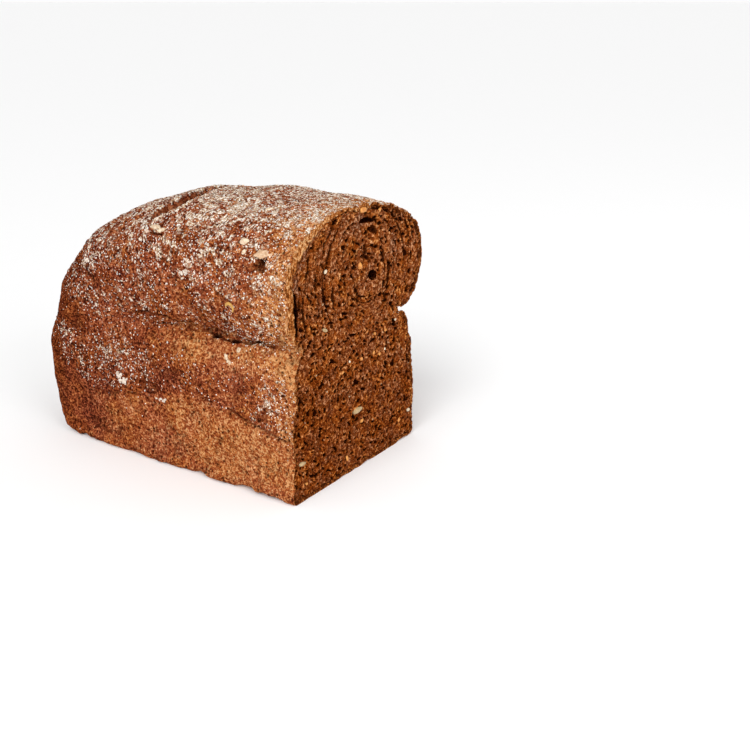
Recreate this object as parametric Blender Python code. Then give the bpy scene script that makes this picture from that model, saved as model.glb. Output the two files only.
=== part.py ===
"""Cut tin loaf of wholemeal bread.

The closed end points to -X and the cut face to +X. The loaf stands on z = 0, with the
origin in the middle of its base. It is one solid: the bread, its split, the flap of crust
with the hole under it, the flakes on the crust and the seeds in the cut face.
"""

import math

import bmesh
import bpy
import numpy as np
from mathutils import Quaternion, Vector

MM = 0.001
WELD = 0.001 * MM

# Body, which took the shape of the tin
LENGTH = 192.8 * MM
BASE_HALF_WIDTH = 55.3 * MM
BODY_HALF_WIDTH = 53.5 * MM
BASE_CORNER = 3.5 * MM
SHOULDER_START = 46 * MM
RIM_HEIGHT = 78 * MM

# Dome, which rose over the rim, for each side: the depth of the notch and the lobe above it
HEIGHT = 140.4 * MM
CROWN_PEAK_Y = -7.8 * MM
CROWN_FULLNESS = 2.38
LEFT_NOTCH = 45 * MM
LEFT_LOBE = 57.6 * MM
LEFT_LOBE_HEIGHT = 104 * MM
RIGHT_NOTCH = 38 * MM
RIGHT_LOBE = 62 * MM
RIGHT_LOBE_HEIGHT = 109 * MM
CROWN_RISE = 2.2 * MM
CROWN_RISE_AT = 77.5 * MM
MIDDLE_Y = -2.25 * MM

# Closed end: how far in from the end each rounding starts, and how full it is
POLE_HEIGHT = 50.5 * MM
END_SIDE_ROUNDING = 33.4 * MM
END_SIDE_FULLNESS = 3.38
END_FOOT_ROUNDING = 52 * MM
END_TOP_SIDE_ROUNDING = 83.7 * MM
END_TOP_SIDE_FULLNESS = 1.72
END_TOP_ROUNDING = 138.5 * MM
END_TOP_FULLNESS = 2.21
END_BASE_ROUNDING = 34 * MM
END_BASE_FULLNESS = 1.9
NOTCH_FADES_FROM = 55 * MM
NOTCH_FADES_OVER = 80 * MM
NOTCH_HOLES = ((40 * MM, 4 * MM, 5 * MM), (53 * MM, 3 * MM, 4 * MM))

# How finely the skin is made
STATIONS = 27
END_STATIONS = 20
BASE_POINTS = 3
CORNER_POINTS = 3
SIDE_POINTS = 6
SHOULDER_POINTS = 6
LOBE_POINTS = 6
CROWN_POINTS = 13

# Unevenness of the crust
RELIEF = 0.55 * MM
RELIEF_WAVES = 26
RELIEF_SHORTEST = 16 * MM
RELIEF_LONGEST = 48 * MM
RELIEF_SEED = 104

# Split across the dome, as points (distance behind the cut, y) and its size
SPLIT_PATH = (
    (75 * MM, 14 * MM),
    (79 * MM, 0 * MM),
    (84 * MM, -11 * MM),
    (87 * MM, -23 * MM),
    (92 * MM, -33 * MM),
    (98 * MM, -43 * MM),
)
SPLIT_RADIUS = 6 * MM
SPLIT_LIFT = 3 * MM

# Hole in the dome's side with a flap of crust over it
FLAP_HOLE_BEHIND = 16.5 * MM
FLAP_HOLE_HEIGHT = 120 * MM
FLAP_HOLE_SIZE = (5.6 * MM, 8 * MM, 6 * MM)
FLAP_SIZE = (10.5 * MM, 4.8 * MM, 1.6 * MM)
FLAP_BEHIND = 16 * MM
FLAP_HEIGHT = 125 * MM

# Flakes and lumps on the crust: (distance behind the cut, height, length, width, thickness)
FLAKES = (
    (28.6 * MM, 128.3 * MM, 5.5 * MM, 3.6 * MM, 2.2 * MM),
    (26.8 * MM, 124.0 * MM, 4.0 * MM, 3.2 * MM, 2.0 * MM),
    (33.0 * MM, 98.6 * MM, 7.0 * MM, 3.2 * MM, 2.0 * MM),
    (118.8 * MM, 42.6 * MM, 7.0 * MM, 6.5 * MM, 3.2 * MM),
    (137.0 * MM, 102.0 * MM, 8.0 * MM, 6.0 * MM, 3.0 * MM),
    (161.4 * MM, 61.6 * MM, 6.0 * MM, 5.0 * MM, 2.4 * MM),
    (38.0 * MM, 72.6 * MM, 5.0 * MM, 3.4 * MM, 2.0 * MM),
    (44.0 * MM, 68.0 * MM, 4.6 * MM, 3.2 * MM, 2.0 * MM),
)

# Seeds and grains in the cut face: (y, z, length, width, turn in degrees)
SEEDS = (
    (1.0 * MM, 32.5 * MM, 9.5 * MM, 4.2 * MM, -24),
    (-46.3 * MM, 20.0 * MM, 5.2 * MM, 2.2 * MM, -30),
    (-26.2 * MM, 83.5 * MM, 4.6 * MM, 2.0 * MM, -8),
)
SEED_THICKNESS = 2.6 * MM
SEED_STANDS_OUT = 0.5 * MM

# Tunnel in the crumb, and the larger pores: (y, z, length, height, turn in degrees)
TUNNEL = (15.1 * MM, 102.2 * MM, 7.0 * MM, 5.4 * MM, -12)
TUNNEL_DEPTH = 24 * MM
PORES = (
    (9.8 * MM, 131.3 * MM, 13.0 * MM, 2.6 * MM, -12),
    (-21.0 * MM, 112.0 * MM, 4.5 * MM, 2.6 * MM, 55),
    (34.0 * MM, 118.0 * MM, 5.0 * MM, 2.4 * MM, -40),
    (44.0 * MM, 98.0 * MM, 4.2 * MM, 2.4 * MM, -80),
    (-37.0 * MM, 94.0 * MM, 4.4 * MM, 2.4 * MM, 80),
    (-8.0 * MM, 84.0 * MM, 4.0 * MM, 2.4 * MM, 10),
    (24.0 * MM, 66.0 * MM, 4.4 * MM, 2.2 * MM, 25),
    (-30.0 * MM, 55.0 * MM, 4.0 * MM, 2.4 * MM, 70),
    (7.0 * MM, 50.0 * MM, 4.2 * MM, 2.2 * MM, -15),
    (37.0 * MM, 36.0 * MM, 4.4 * MM, 2.4 * MM, 60),
    (-14.0 * MM, 18.0 * MM, 4.2 * MM, 2.4 * MM, 12),
    (22.0 * MM, 12.0 * MM, 4.0 * MM, 2.2 * MM, -8),
)
PORE_DEPTH = 4.4 * MM

CRUST_COLOUR = (0.27, 0.13, 0.06, 1)


def clear_scene():
    for obj in list(bpy.data.objects):
        bpy.data.objects.remove(obj)


def new_collection(name, helper=False):
    collection = bpy.data.collections.new(name)
    collection.hide_render = helper
    bpy.context.scene.collection.children.link(collection)
    return collection


def arc(centre, radii, start, end, count, fullness=2.0):
    """Points of an oval arc, from the start angle up to, but without, the end angle."""
    angle = np.linspace(start, end, count, endpoint=False)
    reach = np.sign(np.cos(angle)) * np.abs(np.cos(angle)) ** (2 / fullness)
    rise = np.sign(np.sin(angle)) * np.abs(np.sin(angle)) ** (2 / fullness)
    return np.stack([centre[0] + radii[0] * reach, centre[1] + radii[1] * rise], axis=1)


def half_outline(notch, lobe, lobe_height, peak):
    """One side of the cross section, from the middle of the base up to the crown."""
    quarter = math.pi / 2
    flat = BASE_HALF_WIDTH - BASE_CORNER
    base = np.stack([np.linspace(0, flat, BASE_POINTS, endpoint=False), np.zeros(BASE_POINTS)], axis=1)
    corner = arc((flat, BASE_CORNER), (BASE_CORNER, BASE_CORNER), -quarter, 0, CORNER_POINTS)
    share = np.linspace(0, 1, SIDE_POINTS, endpoint=False)[:, None]
    foot = np.array([BASE_HALF_WIDTH, BASE_CORNER])
    top = np.array([BODY_HALF_WIDTH, SHOULDER_START])
    side = foot + (top - foot) * share
    shoulder = arc(
        (notch, SHOULDER_START),
        (BODY_HALF_WIDTH - notch, RIM_HEIGHT - SHOULDER_START),
        0,
        quarter,
        SHOULDER_POINTS,
    )
    under = arc((notch, lobe_height), (lobe - notch, lobe_height - RIM_HEIGHT), -quarter, 0, LOBE_POINTS)
    crown = arc(
        (peak, lobe_height), (lobe - peak, HEIGHT - lobe_height), 0, quarter, CROWN_POINTS, CROWN_FULLNESS
    )
    return np.concatenate([base, corner, side, shoulder, under, crown, [[peak, HEIGHT]]])


def outline(behind):
    """The whole cross section this far behind the cut, before the closed end rounds it."""
    fade = np.clip((behind - NOTCH_FADES_FROM) / NOTCH_FADES_OVER, 0, 1) ** 1.2
    deeper = sum(
        depth * math.exp(-(((behind - at) / width) ** 2)) for at, depth, width in NOTCH_HOLES
    )
    halves = []
    for side, notch, lobe, lobe_height in (
        (1, RIGHT_NOTCH, RIGHT_LOBE, RIGHT_LOBE_HEIGHT),
        (-1, LEFT_NOTCH - deeper, LEFT_LOBE, LEFT_LOBE_HEIGHT),
    ):
        notch = BODY_HALF_WIDTH - (BODY_HALF_WIDTH - notch) * (1 - fade)
        lobe = BODY_HALF_WIDTH + (lobe - BODY_HALF_WIDTH) * (1 - 0.88 * fade)
        halves.append(half_outline(notch, lobe, lobe_height, side * CROWN_PEAK_Y) * (side, 1))
    right, left = halves
    return np.concatenate([right, left[::-1][1:-1]])


def rounding(behind, length, fullness):
    """1 along the loaf, falling to 0 at the closed end as an oval does."""
    along = np.clip((behind - (LENGTH - length)) / length, 0, 1)
    return np.clip(1 - along**fullness, 0, 1) ** (1 / fullness)


def section(behind):
    """Points (y, z) of the loaf's cross section this far behind the cut."""
    flat = outline(behind)
    rise = flat[:, 1] - POLE_HEIGHT
    high = np.clip(rise / (HEIGHT - POLE_HEIGHT), 0, 1)
    low = np.clip(-rise / POLE_HEIGHT, 0, 1)
    side_length = (
        END_SIDE_ROUNDING
        + (END_TOP_SIDE_ROUNDING - END_SIDE_ROUNDING) * high
        + (END_FOOT_ROUNDING - END_SIDE_ROUNDING) * low
    )
    side_fullness = END_SIDE_FULLNESS + (END_TOP_SIDE_FULLNESS - END_SIDE_FULLNESS) * high
    swell = math.sin(min(behind / CROWN_RISE_AT, 2) * math.pi / 2)
    lift = 1 + CROWN_RISE / (HEIGHT - POLE_HEIGHT) * swell
    above = lift * rounding(behind, END_TOP_ROUNDING, END_TOP_FULLNESS)
    below = rounding(behind, END_BASE_ROUNDING, END_BASE_FULLNESS)
    y = flat[:, 0] * rounding(behind, side_length, side_fullness)
    z = POLE_HEIGHT + rise * np.where(rise > 0, above, below)
    return np.stack([y, z], axis=1)


def relief(points):
    """Height of the crust's unevenness at each point: a sum of waves in random directions."""
    chance = np.random.default_rng(RELIEF_SEED)
    way = chance.normal(size=(RELIEF_WAVES, 3))
    way /= np.linalg.norm(way, axis=1, keepdims=True)
    wave = chance.uniform(RELIEF_SHORTEST, RELIEF_LONGEST, RELIEF_WAVES)
    phase = chance.uniform(0, 2 * math.pi, RELIEF_WAVES)
    height = np.sin(points @ (way / wave[:, None] * 2 * math.pi).T + phase).sum(axis=1)
    return RELIEF * height / math.sqrt(RELIEF_WAVES / 2)


def station_distances():
    """How far behind the cut each cross section lies: even along the loaf, closer at the end."""
    turn = np.linspace(0, math.pi / 2, END_STATIONS + 1)[1:-1]
    end = LENGTH - END_SIDE_ROUNDING * (1 - np.sin(turn) ** (2 / END_SIDE_FULLNESS))
    body = np.linspace(0, LENGTH - END_SIDE_ROUNDING, STATIONS)
    return np.concatenate([body, end])


def skin_rings():
    """The loaf's cross sections as rings of points in space, with the relief added."""
    distances = station_distances()
    rings = []
    for behind in distances:
        flat = section(behind)
        x = np.full(len(flat), LENGTH / 2 - behind)
        rings.append(np.stack([x, flat[:, 0] + MIDDLE_Y, flat[:, 1]], axis=1))
    rings = np.array(rings)
    around = np.roll(rings, -1, axis=1) - np.roll(rings, 1, axis=1)
    along = np.gradient(rings, axis=0)
    normal = np.cross(along, around)
    normal /= np.linalg.norm(normal, axis=2, keepdims=True)
    middle = np.array([0, MIDDLE_Y, POLE_HEIGHT])
    normal *= np.sign((normal * (rings - middle)).sum(axis=(1, 2)))[:, None, None]
    height = relief(rings.reshape(-1, 3)).reshape(rings.shape[:2])
    height *= np.clip(rings[:, :, 2] / (12 * MM), 0, 1)
    height[-3:] *= 0.3
    moved = rings + normal * height[:, :, None]
    moved[0, :, 0] = LENGTH / 2
    return moved


def add_loaf(collection):
    rings = skin_rings()
    count, around = rings.shape[:2]
    index = np.arange(count * around).reshape(count, around)
    following = np.roll(index, -1, axis=1)
    quads = np.stack([index[:-1], following[:-1], following[1:], index[1:]], axis=-1).reshape(-1, 4)
    tip = count * around
    fan = [(int(a), int(b), tip) for a, b in zip(index[-1], following[-1])]
    cut_face = [int(i) for i in index[0][::-1]]
    points = rings.reshape(-1, 3).tolist() + [[-LENGTH / 2, MIDDLE_Y, POLE_HEIGHT]]
    mesh = bpy.data.meshes.new("loaf")
    mesh.from_pydata(points, [], quads.tolist() + fan + [cut_face])
    mesh.validate()
    loaf = bpy.data.objects.new("loaf", mesh)
    collection.objects.link(loaf)
    return loaf


def close_and_face_outwards(obj):
    """Joins doubled points, as at a curve's caps, and turns the faces outwards."""
    mesh = bmesh.new()
    mesh.from_mesh(obj.data)
    bmesh.ops.remove_doubles(mesh, verts=mesh.verts, dist=WELD)
    bmesh.ops.recalc_face_normals(mesh, faces=mesh.faces)
    mesh.to_mesh(obj.data)
    mesh.free()


def move_to(obj, collection):
    for old in list(obj.users_collection):
        old.objects.unlink(obj)
    collection.objects.link(obj)
    return obj


def surface_at(loaf, start, direction):
    """Where a line from outside meets the loaf, and the surface's normal there."""
    hit, point, normal, _ = loaf.ray_cast(Vector(start), Vector(direction))
    if not hit:
        raise ValueError("the line misses the loaf")
    return point, normal


def side_surface(loaf, behind, height):
    return surface_at(loaf, (LENGTH / 2 - behind, -200 * MM, height), (0, 1, 0))


def ball(name, collection, size, segments=6, rings=4):
    bpy.ops.mesh.primitive_uv_sphere_add(segments=segments, ring_count=rings, radius=0.5)
    obj = bpy.context.active_object
    obj.name = name
    obj.scale = size
    return move_to(obj, collection)


def lay_flat(obj, point, normal, turn=0.0):
    """Puts an object at a point with its own Z along the normal."""
    spin = Quaternion((0, 0, 1), math.radians(turn))
    obj.rotation_mode = "QUATERNION"
    obj.rotation_quaternion = normal.to_track_quat("Z", "X") @ spin
    obj.location = point


def add_split(loaf, collection):
    """A tapering rod along the split's path, lifted so that it cuts a shallow trough."""
    curve = bpy.data.curves.new("split", "CURVE")
    curve.dimensions = "3D"
    curve.bevel_depth = SPLIT_RADIUS
    curve.bevel_resolution = 2
    curve.use_fill_caps = True
    curve.resolution_u = 2
    spline = curve.splines.new("NURBS")
    spline.points.add(len(SPLIT_PATH) - 1)
    spline.use_endpoint_u = True
    spline.order_u = 3
    for number, (behind, y) in enumerate(SPLIT_PATH):
        start = (LENGTH / 2 - behind, y + MIDDLE_Y, 300 * MM)
        point, normal = surface_at(loaf, start, (0, 0, -1))
        spline.points[number].co = (*(point + normal * SPLIT_LIFT), 1)
        spline.points[number].radius = 0.55 if number in (0, len(SPLIT_PATH) - 1) else 1
    guide = bpy.data.objects.new("split guide", curve)
    collection.objects.link(guide)
    bpy.context.view_layer.update()
    graph = bpy.context.evaluated_depsgraph_get()
    mesh = bpy.data.meshes.new_from_object(guide.evaluated_get(graph))
    cutter = bpy.data.objects.new("split", mesh)
    collection.objects.link(cutter)
    bpy.data.objects.remove(guide)
    close_and_face_outwards(cutter)


def add_flap_hole(loaf, collection):
    point, normal = side_surface(loaf, FLAP_HOLE_BEHIND, FLAP_HOLE_HEIGHT)
    bpy.ops.mesh.primitive_cube_add(size=1)
    cutter = move_to(bpy.context.active_object, collection)
    cutter.name = "flap hole"
    cutter.scale = (FLAP_HOLE_SIZE[0], FLAP_HOLE_SIZE[2], FLAP_HOLE_SIZE[1])
    lay_flat(cutter, point, normal, 12)


def add_flap(loaf, collection):
    """A bent plate of crust standing over the hole."""
    point, normal = side_surface(loaf, FLAP_BEHIND, FLAP_HEIGHT)
    bpy.ops.mesh.primitive_cylinder_add(vertices=8, radius=0.5, depth=1)
    flap = move_to(bpy.context.active_object, collection)
    flap.name = "flap"
    flap.scale = FLAP_SIZE
    tilted = (normal + Vector((0.1, 0.25, 0.35))).normalized()
    lay_flat(flap, point + normal * 0.4 * MM, tilted, 8)


def add_flakes(loaf, collection):
    for number, (behind, height, length, width, thickness) in enumerate(FLAKES):
        point, normal = side_surface(loaf, behind, height)
        flake = ball(f"flake {number}", collection, (length, width, thickness))
        lay_flat(flake, point + normal * 0.2 * thickness, normal, 25 * number)


def turned_in_face(obj, y, z, stands_out, turn):
    """Puts an object in the cut face, its X across the loaf before the turn."""
    obj.rotation_mode = "XYZ"
    obj.rotation_euler = (math.radians(turn), 0, 0)
    obj.location = (LENGTH / 2 + stands_out, y + MIDDLE_Y, z)


def add_seeds(collection):
    for number, (y, z, length, width, turn) in enumerate(SEEDS):
        seed = ball(f"seed {number}", collection, (SEED_THICKNESS, length, width), 8, 6)
        turned_in_face(seed, y, z, SEED_STANDS_OUT - SEED_THICKNESS / 2, turn)


def add_pores(collection):
    for number, (y, z, length, height, turn) in enumerate(PORES):
        pore = ball(f"pore {number}", collection, (PORE_DEPTH, length, height), 7, 5)
        turned_in_face(pore, y, z, 0.3 * MM, turn)
    y, z, length, height, turn = TUNNEL
    tunnel = ball("tunnel", collection, (2 * TUNNEL_DEPTH, length, height), 12, 8)
    turned_in_face(tunnel, y, z, 0, turn)


def join(obj, collection, operation):
    """Applies a Boolean with every object of a collection, then removes them."""
    modifier = obj.modifiers.new(operation.lower(), "BOOLEAN")
    modifier.operation = operation
    modifier.operand_type = "COLLECTION"
    modifier.collection = collection
    modifier.solver = "MANIFOLD"
    bpy.context.view_layer.objects.active = obj
    bpy.ops.object.modifier_apply(modifier=modifier.name)
    for helper in list(collection.objects):
        bpy.data.objects.remove(helper)


def paint(obj, name, colour):
    material = bpy.data.materials.new(name)
    material.use_nodes = True
    shader = material.node_tree.nodes["Principled BSDF"]
    shader.inputs["Base Color"].default_value = colour
    shader.inputs["Roughness"].default_value = 0.85
    obj.data.materials.clear()
    obj.data.materials.append(material)


def main():
    clear_scene()
    bread = new_collection("tin loaf")
    cutters = new_collection("cutters", helper=True)
    added = new_collection("added pieces", helper=True)
    loaf = add_loaf(bread)
    close_and_face_outwards(loaf)
    bpy.context.view_layer.update()
    add_split(loaf, cutters)
    add_flap_hole(loaf, cutters)
    add_pores(cutters)
    add_flap(loaf, added)
    add_flakes(loaf, added)
    add_seeds(added)
    for collection in (cutters, added):
        for helper in collection.objects:
            helper.display_type = "WIRE"
    join(loaf, cutters, "DIFFERENCE")
    join(loaf, added, "UNION")
    paint(loaf, "crust", CRUST_COLOUR)


main()
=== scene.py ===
# %% [markdown]
# # A cut tin loaf of wholemeal bread
#
# The loaf is a dark wholemeal tin loaf, cut across so that the crumb shows. Its skin is a
# thin crust dusted with flour, and its inside is a spongy crumb full of small pores.
# Two surfaces carry nearly all of that: a skin with a rim at the cut, and the crumb that
# fills it. Both are computed with numpy on a grid, so that every bump and pore is real
# shape, and each is divided into three closed meshes. Seeds, bits of grain, flakes, flour
# lumps and flour grains are small meshes on top.

import math

import bpy
import numpy as np
from mathutils import Matrix, Vector


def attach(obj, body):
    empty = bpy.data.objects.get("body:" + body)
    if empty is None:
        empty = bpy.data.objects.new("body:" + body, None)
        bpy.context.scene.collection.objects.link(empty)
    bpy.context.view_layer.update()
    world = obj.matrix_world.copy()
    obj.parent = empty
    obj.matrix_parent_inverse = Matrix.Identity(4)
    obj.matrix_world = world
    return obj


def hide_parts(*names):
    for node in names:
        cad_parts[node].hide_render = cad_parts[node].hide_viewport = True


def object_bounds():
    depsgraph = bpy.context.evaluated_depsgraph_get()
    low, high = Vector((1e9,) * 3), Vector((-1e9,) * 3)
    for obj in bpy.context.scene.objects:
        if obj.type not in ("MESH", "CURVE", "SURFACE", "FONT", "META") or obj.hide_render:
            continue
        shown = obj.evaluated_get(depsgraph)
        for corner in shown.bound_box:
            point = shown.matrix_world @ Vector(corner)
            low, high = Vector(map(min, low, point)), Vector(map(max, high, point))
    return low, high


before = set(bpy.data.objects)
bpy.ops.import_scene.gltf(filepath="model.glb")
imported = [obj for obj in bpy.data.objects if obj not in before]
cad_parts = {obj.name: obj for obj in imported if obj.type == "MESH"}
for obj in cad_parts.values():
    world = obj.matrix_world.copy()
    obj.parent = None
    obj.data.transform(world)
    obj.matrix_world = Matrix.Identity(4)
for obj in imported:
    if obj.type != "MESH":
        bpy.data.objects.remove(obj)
cad_box = [list(corner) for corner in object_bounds()]
MM = 0.001
print("packed loaf, lowest and highest corner:", cad_box)

# %% [markdown]
# ## The loaf's form
#
# In the tin the dough took the tin's box shape, and above the rim it swelled out and over
# it. So each half of a cross section is a short chain of arcs: flat base, sharp corner,
# nearly straight side, shoulder curling in to a notch at the rim, then the lobe that
# bulges back out, and the crown. The two sides differ, as the dough rose unevenly.
# The chain is computed for every cross section at once, as arrays.

# %% Sizes of the loaf
LENGTH = 192.8 * MM
BASE_HALF_WIDTH = 55.3 * MM
BODY_HALF_WIDTH = 53.5 * MM
BASE_CORNER = 3.5 * MM
SHOULDER_START = 46 * MM
RIM_HEIGHT = 78 * MM
HEIGHT = 140.4 * MM
CROWN_PEAK_Y = -7.8 * MM
CROWN_FULLNESS = 2.38
LEFT_SIDE = {"notch": 45 * MM, "lobe": 57.6 * MM, "lobe_height": 104 * MM}
RIGHT_SIDE = {"notch": 38 * MM, "lobe": 62 * MM, "lobe_height": 109 * MM}
CROWN_RISE = 2.2 * MM
CROWN_RISE_AT = 77.5 * MM
MIDDLE_Y = -2.25 * MM
CUT_X = LENGTH / 2

# %% Half of a cross section, as a chain of arcs
QUARTER = math.pi / 2


def arc(centre, radii, start, end, count, fullness=2.0):
    """Points of an oval arc: centre plus radius times cosine and sine, each to the power 2 / fullness."""
    angle = np.linspace(start, end, count, endpoint=False)
    reach = np.sign(np.cos(angle)) * np.abs(np.cos(angle)) ** (2 / fullness)
    rise = np.sign(np.sin(angle)) * np.abs(np.sin(angle)) ** (2 / fullness)
    return centre[0] + radii[0] * reach, centre[1] + radii[1] * rise


def half_outline(notch, lobe, lobe_height, peak, counts):
    """Half a cross section from mid-base to crown. notch and lobe are columns, one row per section."""
    rows = np.zeros_like(notch)
    flat = BASE_HALF_WIDTH - BASE_CORNER
    share = np.linspace(0, 1, counts["side"], endpoint=False)
    chain = [
        (np.linspace(0, flat, counts["base"], endpoint=False) + rows, np.zeros(counts["base"]) + rows),
        arc((flat + rows, BASE_CORNER + rows), (BASE_CORNER, BASE_CORNER), -QUARTER, 0, counts["corner"]),
        (
            BASE_HALF_WIDTH + (BODY_HALF_WIDTH - BASE_HALF_WIDTH) * share + rows,
            BASE_CORNER + (SHOULDER_START - BASE_CORNER) * share + rows,
        ),
        arc(
            (notch, SHOULDER_START + rows),
            (BODY_HALF_WIDTH - notch, RIM_HEIGHT - SHOULDER_START),
            0,
            QUARTER,
            counts["shoulder"],
        ),
        arc(
            (notch, lobe_height + rows),
            (lobe - notch, lobe_height - RIM_HEIGHT),
            -QUARTER,
            0,
            counts["under"],
        ),
        arc(
            (peak + rows, lobe_height + rows),
            (lobe - peak, HEIGHT - lobe_height),
            0,
            QUARTER,
            counts["crown"],
            CROWN_FULLNESS,
        ),
        (peak + rows, HEIGHT + rows),
    ]
    return np.concatenate([y for y, z in chain], axis=1), np.concatenate([z for y, z in chain], axis=1)


# %% [markdown]
# ## The closed end
#
# Away from the cut the notch fades, since the dough there stayed inside the tin, and the
# end closes in a rounded shape. Each rounding is an oval: a factor that stays 1 along the
# loaf and falls to 0 at the end. The sides, the foot, the top and the base each have their
# own length of rounding, so the top slopes down early while the side stays nearly square.

# %% How the end closes
NOTCH_FADES_FROM = 55 * MM
NOTCH_FADES_OVER = 80 * MM
NOTCH_HOLES = ((40 * MM, 4 * MM, 5 * MM), (53 * MM, 3 * MM, 4 * MM))
POLE_HEIGHT = 50.5 * MM
SIDE_ROUNDING = (33.4 * MM, 3.38)
FOOT_ROUNDING = 52 * MM
TOP_SIDE_ROUNDING = (83.7 * MM, 1.72)
TOP_ROUNDING = (138.5 * MM, 2.21)
BASE_ROUNDING = (34 * MM, 1.9)


def rounding(behind, length, fullness):
    """1 along the loaf, then (1 - share ** fullness) ** (1 / fullness) down to 0 at the closed end."""
    share = np.clip((behind - (LENGTH - length)) / length, 0, 1)
    return np.clip(1 - share**fullness, 0, 1) ** (1 / fullness)


def sections(behind, left_counts, right_counts):
    """Points (y, z) of the cross sections at these distances behind the cut, one row per section."""
    behind = np.asarray(behind)[:, None]
    fade = np.clip((behind - NOTCH_FADES_FROM) / NOTCH_FADES_OVER, 0, 1) ** 1.2
    deeper = sum(depth * np.exp(-(((behind - at) / width) ** 2)) for at, depth, width in NOTCH_HOLES)
    halves = []
    sides = ((1, RIGHT_SIDE, 0, right_counts), (-1, LEFT_SIDE, deeper, left_counts))
    for side, sizes, extra, counts in sides:
        notch = BODY_HALF_WIDTH - (BODY_HALF_WIDTH - sizes["notch"] + extra) * (1 - fade)
        lobe = BODY_HALF_WIDTH + (sizes["lobe"] - BODY_HALF_WIDTH) * (1 - 0.88 * fade)
        halves.append(half_outline(notch, lobe, sizes["lobe_height"], side * CROWN_PEAK_Y, counts))
    (right_y, right_z), (left_y, left_z) = halves
    y = np.concatenate([right_y, -left_y[:, -2:0:-1]], axis=1)
    rise = np.concatenate([right_z, left_z[:, -2:0:-1]], axis=1) - POLE_HEIGHT
    high = np.clip(rise / (HEIGHT - POLE_HEIGHT), 0, 1)
    low = np.clip(-rise / POLE_HEIGHT, 0, 1)
    length = SIDE_ROUNDING[0] + (TOP_SIDE_ROUNDING[0] - SIDE_ROUNDING[0]) * high
    length = length + (FOOT_ROUNDING - SIDE_ROUNDING[0]) * low
    fullness = SIDE_ROUNDING[1] + (TOP_SIDE_ROUNDING[1] - SIDE_ROUNDING[1]) * high
    swell = np.sin(np.minimum(behind / CROWN_RISE_AT, 2) * QUARTER)
    above = (1 + CROWN_RISE / (HEIGHT - POLE_HEIGHT) * swell) * rounding(behind, *TOP_ROUNDING)
    height = POLE_HEIGHT + rise * np.where(rise > 0, above, rounding(behind, *BASE_ROUNDING))
    return y * rounding(behind, length, fullness), height


# %% [markdown]
# ## Noise to make bread uneven
#
# Bread is uneven at every scale. Three kinds of noise are enough. Broad waves give the
# swells of the dough. Value noise, random heights on a lattice with smooth steps between
# them, gives lumps. Scattered cells, one random point in each box of a lattice, give
# pores, pits and clumps. All of them work on whole arrays, with a hash in place of a
# random generator, so the same place always gives the same value.

# %% Random values on a lattice
HASH_STEPS = (0x9E3779B97F4A7C15, 0xC2B2AE3D27D4EB4F, 0x165667B19E3779F9)


def chance(cells, seed):
    """A number from 0 to 1 for each lattice cell, mixed from its whole-number position and the seed."""
    mixed = np.full(cells.shape[:-1], 1 + 7919 * seed, dtype=np.uint64)
    for axis in range(cells.shape[-1]):
        mixed ^= cells[..., axis].astype(np.int64).astype(np.uint64) * np.uint64(HASH_STEPS[axis])
        mixed ^= mixed >> np.uint64(31)
        mixed *= np.uint64(0xD6E8FEB86659FD93)
        mixed ^= mixed >> np.uint64(29)
    return (mixed >> np.uint64(11)).astype(float) / 2.0**53


def corner_steps(dimensions, reach):
    """Every whole-number step from -reach to reach, or 0 to 1 for reach 0, in that many dimensions."""
    steps = (0, 1) if reach == 0 else range(-reach, reach + 1)
    return np.stack(np.meshgrid(*[steps] * dimensions), axis=-1).reshape(-1, dimensions)


def value_noise(points, size, seed):
    """Smooth lumps from -1 to 1 of about this size: lattice values blended by 3 t^2 - 2 t^3."""
    place = points / size
    cell = np.floor(place)
    share = place - cell
    share = share * share * (3 - 2 * share)
    total = 0
    for step in corner_steps(points.shape[-1], 0):
        weight = np.prod(np.where(step == 1, share, 1 - share), axis=-1)
        total = total + weight * chance(cell + step, seed)
    return 2 * total - 1


def nearest_cells(points, size, seed):
    """Distance to the nearest and next nearest scattered point, in sizes, and the nearest one's chance."""
    place = points / size
    cell = np.floor(place)
    first = np.full(points.shape[:-1], 9.0)
    second = first.copy()
    luck = np.zeros_like(first)
    for step in corner_steps(points.shape[-1], 1):
        key = cell + step
        shift = np.stack([chance(key, seed + n) for n in range(points.shape[-1])], axis=-1)
        far = np.linalg.norm(key + shift - place, axis=-1)
        nearer = far < first
        second = np.where(nearer, first, np.minimum(second, far))
        luck = np.where(nearer, chance(key, seed + 9), luck)
        first = np.where(nearer, far, first)
    return first, second, luck


def ramp(value, start, end):
    """0 before start, 1 after end, and a smooth step between."""
    share = np.clip((value - start) / (end - start), 0, 1)
    return share * share * (3 - 2 * share)


def bell(offset, width):
    """A bell curve: 1 where the offset is 0, and exp(-1) where it is the width."""
    return np.exp(-((offset / width) ** 2))


def highest(first, *others):
    """The highest of these arrays at each place."""
    for other in others:
        first = np.maximum(first, other)
    return first


def unit(vectors):
    """The vectors at length 1, with no division by zero."""
    return vectors / np.maximum(np.linalg.norm(vectors, axis=-1, keepdims=True), 1e-12)


# %% The broad waves of the crust
RELIEF = 0.55 * MM
RELIEF_WAVES = 26
RELIEF_SHORTEST = 16 * MM
RELIEF_LONGEST = 48 * MM
RELIEF_SEED = 104


def broad_waves(points):
    """Sum of sine waves in random directions, scaled to about RELIEF high."""
    random = np.random.default_rng(RELIEF_SEED)
    way = unit(random.normal(size=(RELIEF_WAVES, 3)))
    length = random.uniform(RELIEF_SHORTEST, RELIEF_LONGEST, RELIEF_WAVES)
    phase = random.uniform(0, 2 * math.pi, RELIEF_WAVES)
    total = np.sin(points @ (way / length[:, None] * 2 * math.pi).T + phase).sum(axis=-1)
    return RELIEF * total / math.sqrt(RELIEF_WAVES / 2)


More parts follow.
